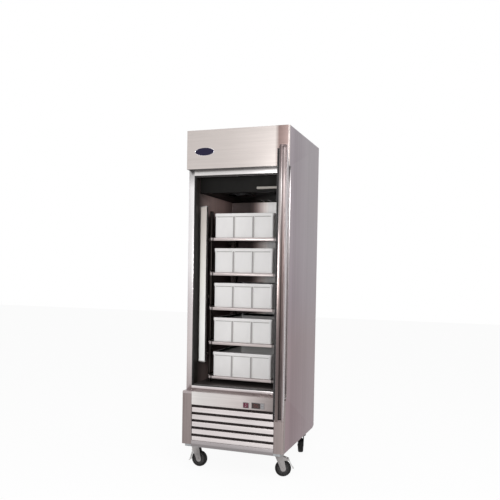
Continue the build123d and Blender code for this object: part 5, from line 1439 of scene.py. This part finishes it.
# %% World
def light_path_share(tree):
    """1 for camera, glossy and transmission rays, else 0."""
    path = add(tree, "ShaderNodeLightPath")
    first = add(tree, "ShaderNodeMath", operation="MAXIMUM")
    second = add(tree, "ShaderNodeMath", operation="MAXIMUM")
    tree.links.new(path.outputs["Is Camera Ray"], first.inputs[0])
    tree.links.new(path.outputs["Is Glossy Ray"], first.inputs[1])
    tree.links.new(first.outputs[0], second.inputs[0])
    tree.links.new(path.outputs["Is Transmission Ray"], second.inputs[1])
    return second.outputs[0]


WHITE = (1, 1, 1, 1)
WORLD_LIGHT = 0.55
world = bpy.data.worlds.new("studio")
bpy.context.scene.world = world
world.use_nodes = True
tree = world.node_tree
tree.nodes.clear()
lit = add(tree, "ShaderNodeBackground", i__Strength=WORLD_LIGHT, i__Color=WHITE)
seen = add(tree, "ShaderNodeBackground", i__Strength=1.0, i__Color=WHITE)
blend = add(tree, "ShaderNodeMixShader")
output = add(tree, "ShaderNodeOutputWorld")
tree.links.new(light_path_share(tree), blend.inputs[0])
tree.links.new(lit.outputs[0], blend.inputs[1])
tree.links.new(seen.outputs[0], blend.inputs[2])
tree.links.new(blend.outputs[0], output.inputs["Surface"])
print("world lights with", WORLD_LIGHT)

# %% [markdown]
# ## Floor
#
# The floor is a large plain sheet. It is a matt paint that takes the soft shadow, blended with a glow
# that the camera sees, so that it fades into the white of the photo.

# %% Floor
FLOOR_SIZE = 14.0
FLOOR_GLOW = 0.93
bm = bmesh.new()
bmesh.ops.create_grid(bm, x_segments=1, y_segments=1, size=FLOOR_SIZE)
floor_mesh = bpy.data.meshes.new("floor")
bm.to_mesh(floor_mesh)
bm.free()
floor = bpy.data.objects.new("floor", floor_mesh)
bpy.context.scene.collection.objects.link(floor)
floor_material, tree, shader = new_material("floor_paint", (0.9, 0.9, 0.9), 0.0, 0.9, 0.0)
glow = add(tree, "ShaderNodeEmission", i__Strength=1.0)
share = add(tree, "ShaderNodeMath", operation="MULTIPLY")
share.inputs[1].default_value = FLOOR_GLOW
blend = add(tree, "ShaderNodeMixShader")
tree.links.new(light_path_share(tree), share.inputs[0])
tree.links.new(share.outputs[0], blend.inputs[0])
tree.links.new(shader.outputs[0], blend.inputs[1])
tree.links.new(glow.outputs[0], blend.inputs[2])
tree.links.new(blend.outputs[0], tree.nodes["Material Output"].inputs["Surface"])
floor_mesh.materials.append(floor_material)
print("floor glow", FLOOR_GLOW)

# %% [markdown]
# ## Lamps
#
# Flat steel mirrors whatever stands in the mirrored direction of the camera, so the large lamps stay out
# of that direction: the main one stands high on the right and one hangs overhead. A soft lamp in front
# lights the crates and the back wall past the open door. A narrow upright lamp on the right is for the
# round corner of the header, which mirrors it as a bright line.

# %% Lamps
def soft_lamp(name, place, target, width, height, power):
    """A rectangular lamp that faces a point."""
    data = bpy.data.lights.new(name, "AREA")
    data.shape = "RECTANGLE"
    data.size = width
    data.size_y = height
    data.energy = power
    lamp = bpy.data.objects.new(name, data)
    bpy.context.scene.collection.objects.link(lamp)
    lamp.location = place
    lamp.rotation_euler = (Vector(target) - Vector(place)).to_track_quat("-Z", "Y").to_euler()


soft_lamp("key_right", (2.7, -3.6, 3.3), (0, 0.1, 1.0), 1.6, 1.4, 62)
soft_lamp("front_fill", (0.55, -3.9, 1.5), (-0.1, 0.2, 1.2), 0.7, 0.9, 62)
soft_lamp("corner_strip", (3.6, -1.2, 1.9), (0.2, 0, 1.6), 0.35, 2.4, 9)
soft_lamp("top_soft", (0.2, -0.6, 4.4), (0, 0.1, 0.8), 2.2, 2.2, 40)
bpy.context.scene.view_settings.view_transform = "Standard"
